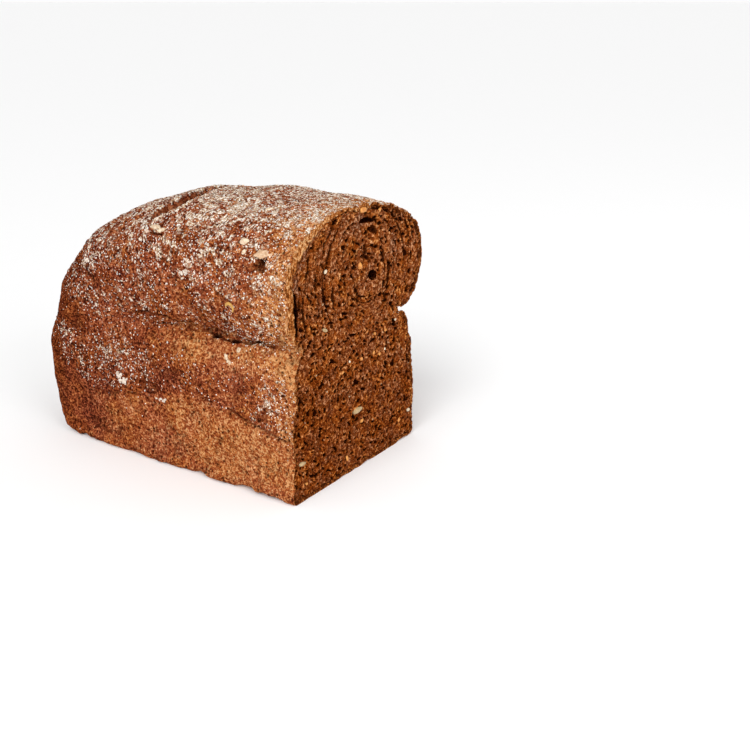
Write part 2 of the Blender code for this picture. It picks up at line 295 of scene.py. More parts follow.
# %% [markdown]
# ## The skin as a grid
#
# One row of the grid is one cross section, and one column runs along the loaf. The rows
# crowd together towards the closed end, where the last one meets a single point. The left
# side has the marks of the real loaf, so it gets more columns than the right. A grid has
# simple normals: the cross product of its two directions.

# %% The skin's grid before any fine relief
LEFT_COUNTS = {"base": 18, "corner": 11, "side": 84, "shoulder": 66, "under": 58, "crown": 150}
RIGHT_COUNTS = {"base": 18, "corner": 8, "side": 52, "shoulder": 44, "under": 38, "crown": 100}
BODY_ROWS = 326
END_ROWS = 50
PART_ROWS = (122, 248)


def skin_distances():
    """Distances behind the cut: even along the body, then following a quarter turn round the end."""
    turn = np.linspace(0, QUARTER, END_ROWS + 1)[1:-1]
    end = LENGTH - SIDE_ROUNDING[0] * (1 - np.sin(turn) ** (2 / SIDE_ROUNDING[1]))
    return np.concatenate([np.linspace(0, LENGTH - SIDE_ROUNDING[0], BODY_ROWS), end])


def grid_normals(grid):
    """Unit normals of a grid closed in its second direction, pointing away from the middle."""
    around = np.roll(grid, -1, axis=1) - np.roll(grid, 1, axis=1)
    normal = unit(np.cross(np.gradient(grid, axis=0), around))
    outwards = (normal * (grid - (0, MIDDLE_Y, POLE_HEIGHT))).sum()
    return normal * np.sign(outwards)


behind = skin_distances()
skin_y, skin_z = sections(behind, LEFT_COUNTS, RIGHT_COUNTS)
skin_x = np.broadcast_to(CUT_X - behind[:, None], skin_y.shape)
skin = np.stack([skin_x, skin_y + MIDDLE_Y, skin_z], axis=-1)
skin_normal = grid_normals(skin)
print("skin grid:", skin.shape)

# %% [markdown]
# ## Where the flour lies and where the crust is dark
#
# Flour was sifted over the dough, so it lies thick on the crown, thins out down the dome's
# side and gathers in patches on the body. The lowest band was pressed against the tin and
# has hardly any: it is tan, with small pits. A fold runs along the top of that band. These
# broad zones are masks from 0 to 1 at each point of the skin. The shape uses them here,
# and the materials read them as attributes.

# %% Masks over the skin
FOLD_LINE_BEHIND = np.array([-10, 5, 21, 44, 65, 92, 132, 164, 200]) * MM
FOLD_LINE_HEIGHT = np.array([32, 33, 37, 41, 44.5, 40, 31, 43, 45]) * MM
FLOUR_PATCHES = (
    (120, 55, 16, 0.34),
    (161, 62, 6, 0.5),
    (12, 48, 14, 0.3),
    (26, 90, 13, 0.18),
    (137, 104, 6, 0.35),
    (58, 112, 8, 0.2),
)


def flour_amount(points, distance):
    """Share of the skin under flour: by height on the dome, in patches on the body, none under the fold."""
    patch = value_noise(points, 16 * MM, 11) + 0.6 * value_noise(points, 7 * MM, 12)
    height = points[..., 2]
    fold = np.interp(distance, FOLD_LINE_BEHIND, FOLD_LINE_HEIGHT)
    crown = 0.16 * ramp(height, 100 * MM, 126 * MM)
    crown = crown + 0.22 * ramp(height + 3 * MM * patch, 126 * MM, 140 * MM)
    end = ramp(distance, 150 * MM, 185 * MM)
    dome = 0.265 + 0.12 * patch + crown - 0.12 * end
    body = np.clip(0.14 + 0.16 * patch, 0.02, 0.4) * ramp(height, fold - 2 * MM, fold + 3 * MM)
    rim = ramp(height, RIM_HEIGHT - 3 * MM, RIM_HEIGHT + 4 * MM)
    under_rim = 1 - 0.8 * bell(height - RIM_HEIGHT + 7 * MM, 7 * MM)
    total = body * under_rim * (1 - rim) + dome * rim
    for at_behind, at_height, radius, extra in FLOUR_PATCHES:
        far = np.hypot(distance - at_behind * MM, height - at_height * MM)
        total = total + extra * bell(far, radius * MM) * (points[..., 1] < MIDDLE_Y)
    return np.clip(total, 0, 1)


def bake_and_light_amount(points, distance):
    """How dark the crust is: darkest at the closed end, light near the cut and below the fold, and lightened
    under the rim as painted light against the notch's shadow.
    """
    drift = 0.17 * value_noise(points, 26 * MM, 21) + 0.12 * value_noise(points, 9 * MM, 22)
    height = points[..., 2]
    fold = np.interp(distance, FOLD_LINE_BEHIND, FOLD_LINE_HEIGHT)
    above_fold = ramp(height, fold - 3 * MM, fold + 3 * MM)
    at_fold = bell(height - fold, 2.2 * MM) * ramp(value_noise(points, 12 * MM, 23), -0.5, 0.3)
    along = 0.22 * ramp(distance, 20 * MM, 90 * MM) + 0.38 * ramp(distance, 95 * MM, 175 * MM)
    near = 1 - ramp(distance, 2 * MM, 30 * MM)
    # Painted light: the crust under the rim is lightened against the shadow of the dome's overhang.
    under_rim = bell(height - RIM_HEIGHT + 7 * MM, 9 * MM) * (1 - ramp(distance, 60 * MM, 130 * MM))
    crown = ramp(height, 110 * MM, 134 * MM)
    on_dome = ramp(height, 80 * MM, 90 * MM)
    tone = 0.19 + (0.43 - 0.07 * on_dome) * above_fold + 0.16 * at_fold
    tone = tone + along * (1 - 0.4 * above_fold) - 0.55 * near * above_fold
    return np.clip(tone - 0.5 * under_rim - 0.04 * crown + drift, -0.15, 1)


distance = np.broadcast_to(behind[:, None], skin.shape[:2])
flour = flour_amount(skin, distance)
bake_and_light = bake_and_light_amount(skin, distance)
print("mean flour %.2f, mean bake %.2f" % (flour.mean(), bake_and_light.mean()))

# %% [markdown]
# ## The split across the dome
#
# The baker scored the dough and the crust opened there: a shallow trough with a smooth,
# red-brown bed and slightly raised lips. Its depth at a point follows from the distance to
# a line of points on the crown, found with the shortest distance to each stretch.

# %% Depth of the split
SPLIT_BEHIND = np.array([86, 88, 88.3, 87, 85.5, 87, 89, 92.5, 94, 95.5]) * MM
SPLIT_ACROSS = np.array([10, 0, -8, -16, -23, -29, -35, -39, -43.5, -47]) * MM
SPLIT_HALF_WIDTHS = np.array([3.2, 4.4, 4.8, 5.2, 6.0, 6.8, 6.2, 4.6, 2.6, 0.8]) * MM
SPLIT_DEPTH = 3.4 * MM


def distance_to_line(across, along, line_across, line_along):
    """Shortest distance from each point to a chain of straight stretches, and how far along it, 0 to 1."""
    best = np.full(across.shape, 9.0)
    share = np.zeros(across.shape)
    stretches = len(line_across) - 1
    for n in range(stretches):
        start = np.array([line_across[n], line_along[n]])
        way = np.array([line_across[n + 1], line_along[n + 1]]) - start
        offset = np.stack([across - start[0], along - start[1]], axis=-1)
        part = np.clip((offset @ way) / (way @ way), 0, 1)
        far = np.linalg.norm(offset - part[..., None] * way, axis=-1)
        share = np.where(far < best, (n + part) / stretches, share)
        best = np.minimum(best, far)
    return best, share


def split_depth(points, distance):
    """Depth of the trough, a channel that narrows to its ends, and masks of its bed and its lips."""
    wobble = 1.0 * MM * value_noise(points, 5 * MM, 31) + 0.5 * MM * value_noise(points, 2 * MM, 32)
    across = points[..., 1] - MIDDLE_Y
    far, share = distance_to_line(across + wobble, distance + wobble, SPLIT_ACROSS, SPLIT_BEHIND)
    width = np.interp(share, np.linspace(0, 1, len(SPLIT_HALF_WIDTHS)), SPLIT_HALF_WIDTHS)
    on_crown = ramp(points[..., 2], 105 * MM, 118 * MM)
    bed = (1 - ramp(far / width, 0.75, 1.0)) * on_crown
    lips = np.exp(-(((far - width) / (1.6 * MM) - 0.6) ** 2)) * on_crown
    return SPLIT_DEPTH * bed * np.clip(width / (3 * MM), 0.5, 1) - 0.5 * MM * lips, bed, lips


split, split_bed, split_lips = split_depth(skin, distance)
flour = np.clip(flour + 0.25 * split_lips, 0, 1)
print("split, deepest: %.1f mm" % (split.max() / MM))

# %% [markdown]
# ## Clumps, pits, creases and torn holes
#
# On the crown the flour dried into clumps with cracks between them. Down the side the
# crust is a fine, grainy skin with wrinkles, and with pits where gas escaped. One flap of
# crust near the cut stands off the dome over a small square hole, and the skin tore in a
# few more places. A thin crease follows the notch. Each kind has a function that gives a
# mask or a depth at every point of the skin.

# %% Functions for the fine relief
CLUMP_SIZE = 2.7 * MM
PIT_SIZE = 4.2 * MM
TORN_HOLES = (
    (16.5 * MM, 120 * MM, 2.5 * MM, 3.0 * MM, 4.0 * MM),
    (137.5 * MM, 100 * MM, 1.3 * MM, 3.6 * MM, 2.6 * MM),
    (133.5 * MM, 96.5 * MM, 1.2 * MM, 1.6 * MM, 2.2 * MM),
    (41.5 * MM, 76.2 * MM, 1.9 * MM, 1.0 * MM, 3.0 * MM),
    (54.0 * MM, 77.2 * MM, 1.5 * MM, 0.9 * MM, 2.6 * MM),
    (86.0 * MM, 125.4 * MM, 4.0 * MM, 0.7 * MM, 1.6 * MM),
)
CREASE_BEHIND = np.array([0, 15, 31, 41, 53, 60, 67, 73, 81, 92, 107, 200]) * MM
CREASE_HEIGHT = np.array([78.5, 80, 77.5, 76.4, 77.3, 79.2, 80.1, 80.6, 82.6, 83.1, 80.8, 79]) * MM
CREASE_DEPTH = 1.9 * MM
WRINKLE_DEPTH = 0.45 * MM
SKIN_INSET = 0.7 * MM
HIGHEST_GRIT = -0.1 * MM


def crust_clumps(points, flour):
    """Raised clumps of flour where it lies thick, each one a cell with a crack round it."""
    bent = points + 0.7 * MM * value_noise(points, 1.6 * MM, 41)[..., None]
    near, next_near, luck = nearest_cells(bent, CLUMP_SIZE, 42)
    _, _, patch = nearest_cells(bent, 3.4 * CLUMP_SIZE, 47)
    gap = ramp(next_near - near, 0.04, 0.3)
    kept = ramp(flour - 0.5 * luck - 0.3 * patch, 0.1, 0.2)
    return gap * kept


def crust_pits(points, size, share, seed):
    """Round pits: one in each kept cell, deepest at its middle."""
    near, _, luck = nearest_cells(points, size, seed)
    return (1 - ramp(near, 0.08, 0.3)) * (luck < share)


def hole_depth(points, distance):
    """Depth of the square-cornered torn holes, their edges roughened by noise."""
    rough = 0.7 * MM * value_noise(points, 1.8 * MM, 51)
    deepest = np.zeros(distance.shape)
    for at_behind, at_height, half_long, half_high, depth in TORN_HOLES:
        along = np.abs(distance - at_behind) - half_long + rough
        up = np.abs(points[..., 2] - at_height) - half_high + rough
        inside = 1 - ramp(np.maximum(along, up), -0.8 * MM, 0.3 * MM)
        deepest = np.maximum(deepest, depth * inside)
    return deepest * (points[..., 1] < MIDDLE_Y)


def crease_mask(points, distance):
    """A thin line along the notch, exp(-(height / width)^4) about it, broken up by noise along it."""
    line = np.interp(distance, CREASE_BEHIND, CREASE_HEIGHT) + 0.5 * MM * value_noise(points, 5 * MM, 53)
    width = 0.5 * MM + 0.25 * MM * ramp(distance, 55 * MM, 70 * MM)
    narrow = np.exp(-(((points[..., 2] - line) / width) ** 4))
    broken = 0.55 + 0.45 * ramp(value_noise(points, 6 * MM, 54), -0.6, 0.2)
    return narrow * broken * (1 - ramp(distance, 88 * MM, 125 * MM)) * (points[..., 1] < MIDDLE_Y)


def wrinkle_mask(points, size, seed):
    """Thin wrinkles: where bent noise passes through zero, in about half of the places."""
    bent = points + 1.2 * MM * value_noise(points, 3 * MM, seed)[..., None]
    line = 1 - ramp(np.abs(value_noise(bent, size, seed + 1)), 0.02, 0.16)
    return line * ramp(value_noise(points, 2.5 * size, seed + 2), -0.1, 0.35)


# %% [markdown]
# ## Adding the relief up
#
# Nearly everything here is a height along the skin's normal, added up before the points
# are moved. The foot is treated apart, because it lay in the tin's corner: it wavers
# sideways, and its edge lifts a little off the board in places, most at the cut, where
# the knife tore it. Last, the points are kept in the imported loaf's box.

# %% Add up the relief
crease = crease_mask(skin, distance)
wrinkles = np.maximum(wrinkle_mask(skin, 6 * MM, 55), wrinkle_mask(skin, 3.5 * MM, 58))
clumps = crust_clumps(skin, flour)
pits = np.maximum(crust_pits(skin, PIT_SIZE, 0.5, 61), crust_pits(skin, 2.4 * MM, 0.45, 71) * 0.7)
pits *= 1 - 0.8 * ramp(flour, 0.4, 0.8)
torn_depth = hole_depth(skin, distance)
torn = ramp(torn_depth, 0.2 * MM, 1.2 * MM)
flour = flour * (1 - torn) * (1 - ramp(split_bed, 0.05, 0.5))
clumps = clumps * (1 - torn)
lumps = 0.32 * value_noise(skin, 7 * MM, 81) + 0.22 * value_noise(skin, 3.2 * MM, 82)
lumps = (lumps + 0.16 * value_noise(skin, 1.5 * MM, 83) + 0.1 * value_noise(skin, 0.9 * MM, 84)) * MM
grounded = np.clip(skin[..., 2] / (9 * MM), 0, 1)
near_tip = np.clip((LENGTH - distance) / (3 * MM), 0.2, 1)
ragged = 1 + 3.2 * bell(distance, 3 * MM)
fold = np.interp(distance, FOLD_LINE_BEHIND, FOLD_LINE_HEIGHT) + 1.2 * MM * value_noise(skin, 10 * MM, 87)
groove = bell(skin[..., 2] - fold, 0.8 * MM) * ramp(value_noise(skin, 7 * MM, 88), -0.2, 0.4)
groove = groove * (skin[..., 1] < MIDDLE_Y)
groove = groove * ramp(distance, 2 * MM, 6 * MM) * (1 - ramp(distance, 120 * MM, 150 * MM))
waves = broad_waves(skin) * np.clip(skin[..., 2] / (12 * MM), 0, 1) * near_tip
grit = lumps * near_tip * ragged + 0.45 * MM * clumps - SKIN_INSET
grit = np.minimum(grit, HIGHEST_GRIT) - 0.7 * MM * pits - 0.9 * MM * groove - split - torn_depth
bare_wrinkles = wrinkles * (1 - ramp(flour, 0.4, 0.6))
grit = grit - CREASE_DEPTH * crease - WRINKLE_DEPTH * bare_wrinkles
height = waves + grit * grounded

# %% Treat the foot, then move the points
foot = bell(skin[..., 2], 9 * MM) * ramp(skin[..., 2], -1 * MM, 0.5 * MM)
foot = foot * ramp(np.abs(skin[..., 1] - MIDDLE_Y), 46 * MM, 53 * MM)
board = skin[..., :2]
foot_wave = 1.2 * MM * value_noise(board, 14 * MM, 85) + 0.8 * MM * value_noise(board, 4.5 * MM, 86)
lift = ramp(value_noise(board, 11 * MM, 89) + 0.5 * value_noise(board, 4 * MM, 90), 0.0, 0.7)
edge = ramp(np.abs(skin[..., 1] - MIDDLE_Y), 49 * MM, 54 * MM) * (1 - ramp(skin[..., 2], 2 * MM, 9 * MM))
skin_moved = skin + skin_normal * height[..., None]
skin_moved[..., 1] += np.sign(skin[..., 1] - MIDDLE_Y) * foot * foot_wave
skin_moved[..., 2] += 1.7 * MM * lift * edge
torn_base = ramp(value_noise(board, 5 * MM, 94) + 0.5 * value_noise(board, 2 * MM, 97), 0.0, 0.8)
torn_base = torn_base * bell(distance, 5 * MM) * (1 - ramp(skin[..., 2], 1 * MM, 6 * MM))
skin_moved[..., 2] += 1.1 * MM * torn_base
skin_moved[0, :, 0] = CUT_X
skin_moved[..., 1] = np.minimum(skin_moved[..., 1], cad_box[1][1] - 0.01 * MM)
skin_moved[..., 2] = np.maximum(skin_moved[..., 2], 0)
print("relief from %.1f to %.1f mm" % (height.min() / MM, height.max() / MM))

# %% [markdown]
# ## The rim at the cut
#
# A knife through the loaf shows the crust edge on as a band, thick where the dome's left
# side dried most, a little thicker over the crown too, and thin elsewhere. The band is the
# skin's first row moved inwards. To move a curve inwards its normals are smoothed first, or
# the points beside the sharp notch would cross over. Behind the band the skin turns back
# into a shallow recess, which makes it a closed solid and leaves room for the crumb.

# %% Rows of the band and the recess
RECESS = 14 * MM
THIN_CRUST = 1.3 * MM
THICK_CRUST = 6.2 * MM
TAPER = 0.5
RIM_STEPS = (
    (1.0, RECESS),
    (1.0, 0.5 * RECESS),
    (1.0, 1.4 * MM),
    (0.93, 0.4 * MM),
    (0.8, 0.0),
    (0.64, 0.0),
    (0.48, 0.0),
    (0.32, 0.0),
    (0.16, 0.0),
)


def inward_normals(ring):
    """Unit normals in the cut's plane, pointing inwards, averaged over a few neighbours."""
    way = np.roll(ring, -1, axis=0) - np.roll(ring, 1, axis=0)
    normal = unit(np.stack([-way[:, 1], way[:, 0]], axis=1))
    normal = unit(sum(np.roll(normal, n, axis=0) for n in range(-3, 4)))
    middle = np.array([MIDDLE_Y, 60 * MM])
    return normal * np.sign(((middle - ring) * normal).sum())


def over_crown(ring):
    """1 along the top of the cut, from the dome's left side to just past its middle, else 0."""
    across = ring[:, 0] - MIDDLE_Y
    return ramp(ring[:, 1], 122 * MM, 132 * MM) * (1 - ramp(across, 12 * MM, 20 * MM))


def crust_thickness(ring):
    """Thickness of the crust at the cut: thick up the dome's left side, thin elsewhere."""
    left = ramp(-(ring[:, 0] - MIDDLE_Y), 12 * MM, 34 * MM)
    dome = ramp(ring[:, 1], 80 * MM, 90 * MM) * (1 - 0.5 * ramp(ring[:, 1], 128 * MM, 140 * MM))
    uneven = 0.35 * MM * value_noise(ring, 5 * MM, 91)
    over_top = 0.9 * MM * over_crown(ring)
    return THIN_CRUST + np.maximum((THICK_CRUST - THIN_CRUST) * left * dome, over_top) + uneven


cut_ring = skin_moved[0][:, 1:]
inwards = inward_normals(cut_ring)
thickness = crust_thickness(cut_ring)
inner_ring = cut_ring + inwards * thickness[:, None]
print("crust at the cut: %.1f to %.1f mm thick" % (thickness.min() / MM, thickness.max() / MM))


def narrowed(ring, depth):
    """The ring drawn towards the cut's middle, more the deeper it lies, so that it stays under the skin."""
    middle = np.array([MIDDLE_Y, 62 * MM])
    return ring + (middle - ring) * (TAPER * np.asarray(depth) / (100 * MM))[..., None]


def rim_rows():
    """Rows from inside the recess out to the skin's edge: floor, wall, then the band with a rough face."""
    rows = []
    for share, depth in RIM_STEPS:
        ring = cut_ring + inwards * (thickness * share)[:, None]
        layers = np.column_stack([share * thickness / (1.1 * MM), ring[:, 1] / (9 * MM)])
        rough = 0.25 * MM * value_noise(ring, 1.6 * MM, 92) + 0.35 * MM * value_noise(layers, 1, 93)
        x = CUT_X - depth - np.clip(rough + 0.3 * MM, 0, 1 * MM)
        rows.append(np.column_stack([x, narrowed(ring, CUT_X - x)]))
    return np.array(rows)


# %% Build the crust as one closed mesh
def grid_faces(rows, columns, start=0, closed=True):
    """Quads between neighbouring rows of a grid, joined round in its second direction if closed."""
    index = start + np.arange(rows * columns).reshape(rows, columns)
    following = np.roll(index, -1, axis=1)
    quads = np.stack([index[:-1], index[1:], following[1:], following[:-1]], axis=-1)
    return quads if closed else quads[:, :-1]


def fan_faces(ring, tip):
    """Triangles from each edge of a closed ring of points to one point."""
    return np.column_stack([ring, np.roll(ring, -1), np.full(len(ring), tip)])


def mesh_object(name, points, quads=(), triangles=(), attributes=None, smooth=True):
    """A mesh from whole arrays of points and faces, with a value for each point in each attribute."""
    quads = np.asarray(quads, dtype=np.int32).reshape(-1, 4)
    triangles = np.asarray(triangles, dtype=np.int32).reshape(-1, 3)
    mesh = bpy.data.meshes.new(name)
    mesh.vertices.add(len(points))
    mesh.vertices.foreach_set("co", np.asarray(points, dtype=np.float32).ravel())
    loops = np.concatenate([quads.ravel(), triangles.ravel()])
    mesh.loops.add(len(loops))
    mesh.loops.foreach_set("vertex_index", loops)
    starts = np.concatenate([np.arange(len(quads)) * 4, quads.size + np.arange(len(triangles)) * 3])
    mesh.polygons.add(len(starts))
    mesh.polygons.foreach_set("loop_start", starts.astype(np.int32))
    mesh.polygons.foreach_set("use_smooth", np.full(len(starts), smooth))
    mesh.update(calc_edges=True)
    for label, values in (attributes or {}).items():
        layer = mesh.attributes.new(label, "FLOAT", "POINT")
        layer.data.foreach_set("value", np.asarray(values, dtype=np.float32).ravel())
    obj = bpy.data.objects.new(name, mesh)
    bpy.context.scene.collection.objects.link(obj)
    return obj


def volume_of(obj):
    """Signed volume of a closed mesh, positive if its faces point outwards."""
    mesh = obj.data
    mesh.calc_loop_triangles()
    points = np.empty(len(mesh.vertices) * 3)
    mesh.vertices.foreach_get("co", points)
    corners = np.empty(len(mesh.loop_triangles) * 3, dtype=np.int32)
    mesh.loop_triangles.foreach_get("vertices", corners)
    a, b, c = points.reshape(-1, 3)[corners.reshape(-1, 3)].transpose(1, 0, 2)
    return (a * np.cross(b, c)).sum() / 6


def face_outwards(obj):
    """Turns every face over if the closed mesh is inside out."""
    if volume_of(obj) < 0:
        obj.data.flip_normals()
    print("%s: %d triangles, %.1f ml" % (obj.name, len(obj.data.loop_triangles), volume_of(obj) * 1e6))


def keep(obj, material):
    """Gives a piece its finish and says that it rides on the loaf and stands for it."""
    obj.data.materials.append(material)
    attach(obj, "root")
    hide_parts("loaf")


def crust_part(name, grid, normals, first_tip, last_tip, masks):
    """A closed length of crust: its grid of rows, and a fan to one point at either end."""
    rows, columns = grid.shape[:2]
    last_ring = (rows - 1) * columns + np.arange(columns)
    first_fan = fan_faces(np.arange(columns), rows * columns)
    last_fan = fan_faces(last_ring, rows * columns + 1)[:, ::-1]
    made = mesh_object(
        name,
        np.concatenate([grid.reshape(-1, 3), [first_tip, last_tip]]),
        grid_faces(rows, columns),
        np.concatenate([first_fan, last_fan]),
        {label: np.append(at.ravel(), [at[0, 0], at[-1, 0]]) for label, at in masks.items()},
    )
    face_outwards(made)
    normals = np.concatenate([normals.reshape(-1, 3), np.zeros((2, 3))])
    made.data.normals_split_custom_set_from_vertices(normals.tolist())
    return made


rim = rim_rows()
moved_normal = grid_normals(skin_moved)
lit_floor = ramp(skin[..., 2], 95 * MM, 105 * MM) * (1 - ramp(skin[..., 2], 118.5 * MM, 122.5 * MM))
torn_shade = torn * (1 - 0.45 * lit_floor)
# Painted shade: pits, torn holes, the fold's groove, the crease and wrinkles are painted dark through this
# mask. It is weaker on the lit floor of the upper holes.
hollow_shade = highest(pits, torn_shade, 0.8 * groove, crease, 0.5 * bare_wrinkles)
masks = {"flour": flour, "clump": clumps, "bake_and_light": bake_and_light, "hollow_shade": hollow_shade, "split": split_bed}
masks["rim"] = np.zeros_like(flour)
masks["rim_tone"] = np.zeros_like(flour)
at_rim = {"flour": 0, "clump": 0, "split": 0, "rim": 1, "bake_and_light": 0.4}
left_rim = ramp(cut_ring[:, 1], 6 * MM, 14 * MM) * (cut_ring[:, 0] < 0)
rim_tone = 0.84 - 0.3 * ramp(thickness, 1.4 * MM, 3.4 * MM)
at_rim["rim_tone"] = rim_tone - 0.14 * left_rim - 0.22 * over_crown(cut_ring)
# Painted shade in the recess behind the band: full on its floor and wall, half at its lip.
at_rim["hollow_shade"] = np.array([1, 1, 1, 0.5, 0, 0, 0, 0, 0])[:, None]


def with_rim(values, label):
    """A mask over the near part's skin with the band's and the recess's rows before it."""
    return np.concatenate([np.broadcast_to(at_rim[label], rim.shape[:2]), values])


def seam_point(row):
    """A point on the loaf's middle line at this row, where two lengths of crust end."""
    return (skin_moved[row, 0, 0], MIDDLE_Y, 70 * MM)


near_row, far_row = PART_ROWS
crust_near = crust_part(
    "crust_near",
    np.concatenate([rim, skin_moved[: near_row + 1]]),
    np.concatenate([np.zeros_like(rim), np.zeros_like(moved_normal[:1]), moved_normal[1 : near_row + 1]]),
    (CUT_X - RECESS - 1 * MM, MIDDLE_Y, 70 * MM),
    seam_point(near_row),
    {label: with_rim(values[: near_row + 1], label) for label, values in masks.items()},
)
crust_middle = crust_part(
    "crust_middle",
    skin_moved[near_row : far_row + 1],
    moved_normal[near_row : far_row + 1],
    seam_point(near_row),
    seam_point(far_row),
    {label: values[near_row : far_row + 1] for label, values in masks.items()},
)
crust_far = crust_part(
    "crust_far",
    skin_moved[far_row:],
    np.concatenate([moved_normal[far_row:-1], np.zeros_like(moved_normal[:1])]),
    seam_point(far_row),
    (-LENGTH / 2, MIDDLE_Y, POLE_HEIGHT),
    {label: values[far_row:] for label, values in masks.items()},
)

# %% [markdown]
# ## The crumb
#
# The crumb is a foam: thin walls round bubbles that the dough stretched as it rose. Cut
# through, each bubble is a small bowl, drawn out along the way the dough flowed, which is
# round and round in the dome and along the crust elsewhere. The face is a fine grid whose
# rows join the left and right edge of the cut. Each bubble is an oval in its own lattice
# cell, turned to the flow at its middle, and the deepest bowl at a point wins. Folds and
# cracks run round the dome's swirl. The tunnel, the slit above it and the crack at the
# dome's left edge are ovals in places of their own.

# %% The way the dough flowed
DOME_SWIRL = (10 * MM, 104 * MM)
BODY_SWIRL = (2 * MM, 40 * MM)


def flow_angle(across, up):
    """Angle of the dough's flow: round the swirl's middle in the dome, round the body's below, blended."""
    dome = np.arctan2(up - DOME_SWIRL[1], across - DOME_SWIRL[0]) + QUARTER
    body = np.arctan2(up - BODY_SWIRL[1], across - BODY_SWIRL[0]) + QUARTER
    share = ramp(up, 66 * MM, 92 * MM)
    double_x = np.cos(2 * dome) * share + np.cos(2 * body) * (1 - share)
    double_y = np.sin(2 * dome) * share + np.sin(2 * body) * (1 - share)
    return np.arctan2(double_y, double_x) / 2


def bubbles(across, up, size, seed, share, widest, stretch, spread):
    """Bowls in oval cells: their depth, half * sqrt(1 - distance^2), and a painted-shade mask of the larger
    ones.

    The mask reaches a little past each bowl's edge, so that the painted shade covers its whole wall.
    """
    place = np.stack([across, up], axis=-1) / size
    cell = np.floor(place)
    deepest = np.zeros(across.shape)
    inside = np.zeros(across.shape)
    for step in corner_steps(2, 1):
        key = cell + step
        centre = (key + np.stack([chance(key, seed), chance(key, seed + 1)], axis=-1)) * size
        turn = flow_angle(centre[..., 0], centre[..., 1]) + spread * (chance(key, seed + 2) - 0.5)
        half = widest * size * (0.35 + 0.65 * chance(key, seed + 3) ** 1.5)
        long_half = np.minimum(half * (1 + stretch * chance(key, seed + 4)), size)
        dy = across - centre[..., 0]
        dz = up - centre[..., 1]
        along = (dy * np.cos(turn) + dz * np.sin(turn)) / long_half
        aside = (-dy * np.sin(turn) + dz * np.cos(turn)) / half
        far = np.sqrt(along**2 + aside**2)
        kept = chance(key, seed + 5) < share
        deepest = np.maximum(deepest, np.sqrt(np.clip(1 - far**2, 0, 1)) * half * kept)
        inside = np.maximum(inside, (1 - ramp(far, 0.85, 1.3)) * ramp(half, 0.15 * MM, 0.6 * MM) * kept)
    return deepest, inside


# %% The face of the crumb
CRUMB_COUNTS = {"base": 1, "corner": 7, "side": 158, "shoulder": 122, "under": 104, "crown": 150}
CRUMB_COLUMNS = 400
CRUMB_SLABS = 3
CRUMB_BACK = 13 * MM
GAP_SHADE_WIDTH = 1.1 * MM
PORE_STRETCH = 1.3
TUNNEL = (15.1 * MM, 102.2 * MM, 3.7 * MM, 2.5 * MM)
SLIT = (9.8 * MM, 131.3 * MM, 6.4 * MM, 1.2 * MM)
EDGE_CRACK = (-46 * MM, 81 * MM, 7.5 * MM, 0.8 * MM)
SMEARS = (
    (34 * MM, 117 * MM, 4 * MM, 8 * MM),
    (4 * MM, 131 * MM, 8 * MM, 4 * MM),
    (10 * MM, 104 * MM, 4 * MM, 3 * MM),
    (-28 * MM, 96 * MM, 5 * MM, 7 * MM),
)


def edge_rows(ring):
    """The ring's right and left half, read at the crumb's rows: piece by piece, by linear blending."""
    pieces = list(CRUMB_COUNTS)
    rows = np.arange(CRUMB_COUNTS["base"], sum(CRUMB_COUNTS.values()))
    crumb_starts = np.cumsum([0] + [CRUMB_COUNTS[piece] for piece in pieces])
    edges = []
    for counts, half in ((RIGHT_COUNTS, ring), (LEFT_COUNTS, np.roll(ring[::-1], 1, axis=0))):
        starts = np.cumsum([0] + [counts[piece] for piece in pieces])
        place = np.interp(rows, crumb_starts, starts)
        edges.append(np.column_stack([np.interp(place, np.arange(len(half)), half[:, n]) for n in (0, 1)]))
    return edges


def oval_depth(across, up, oval, turn):
    """A round-bottomed oval hole, 1 at its middle and 0 at its edge."""
    dy = across - oval[0]
    dz = up - oval[1]
    along = (dy * math.cos(turn) + dz * math.sin(turn)) / oval[2]
    aside = (-dy * math.sin(turn) + dz * math.cos(turn)) / oval[3]
    return np.sqrt(np.clip(1 - along**2 - aside**2, 0, 1))


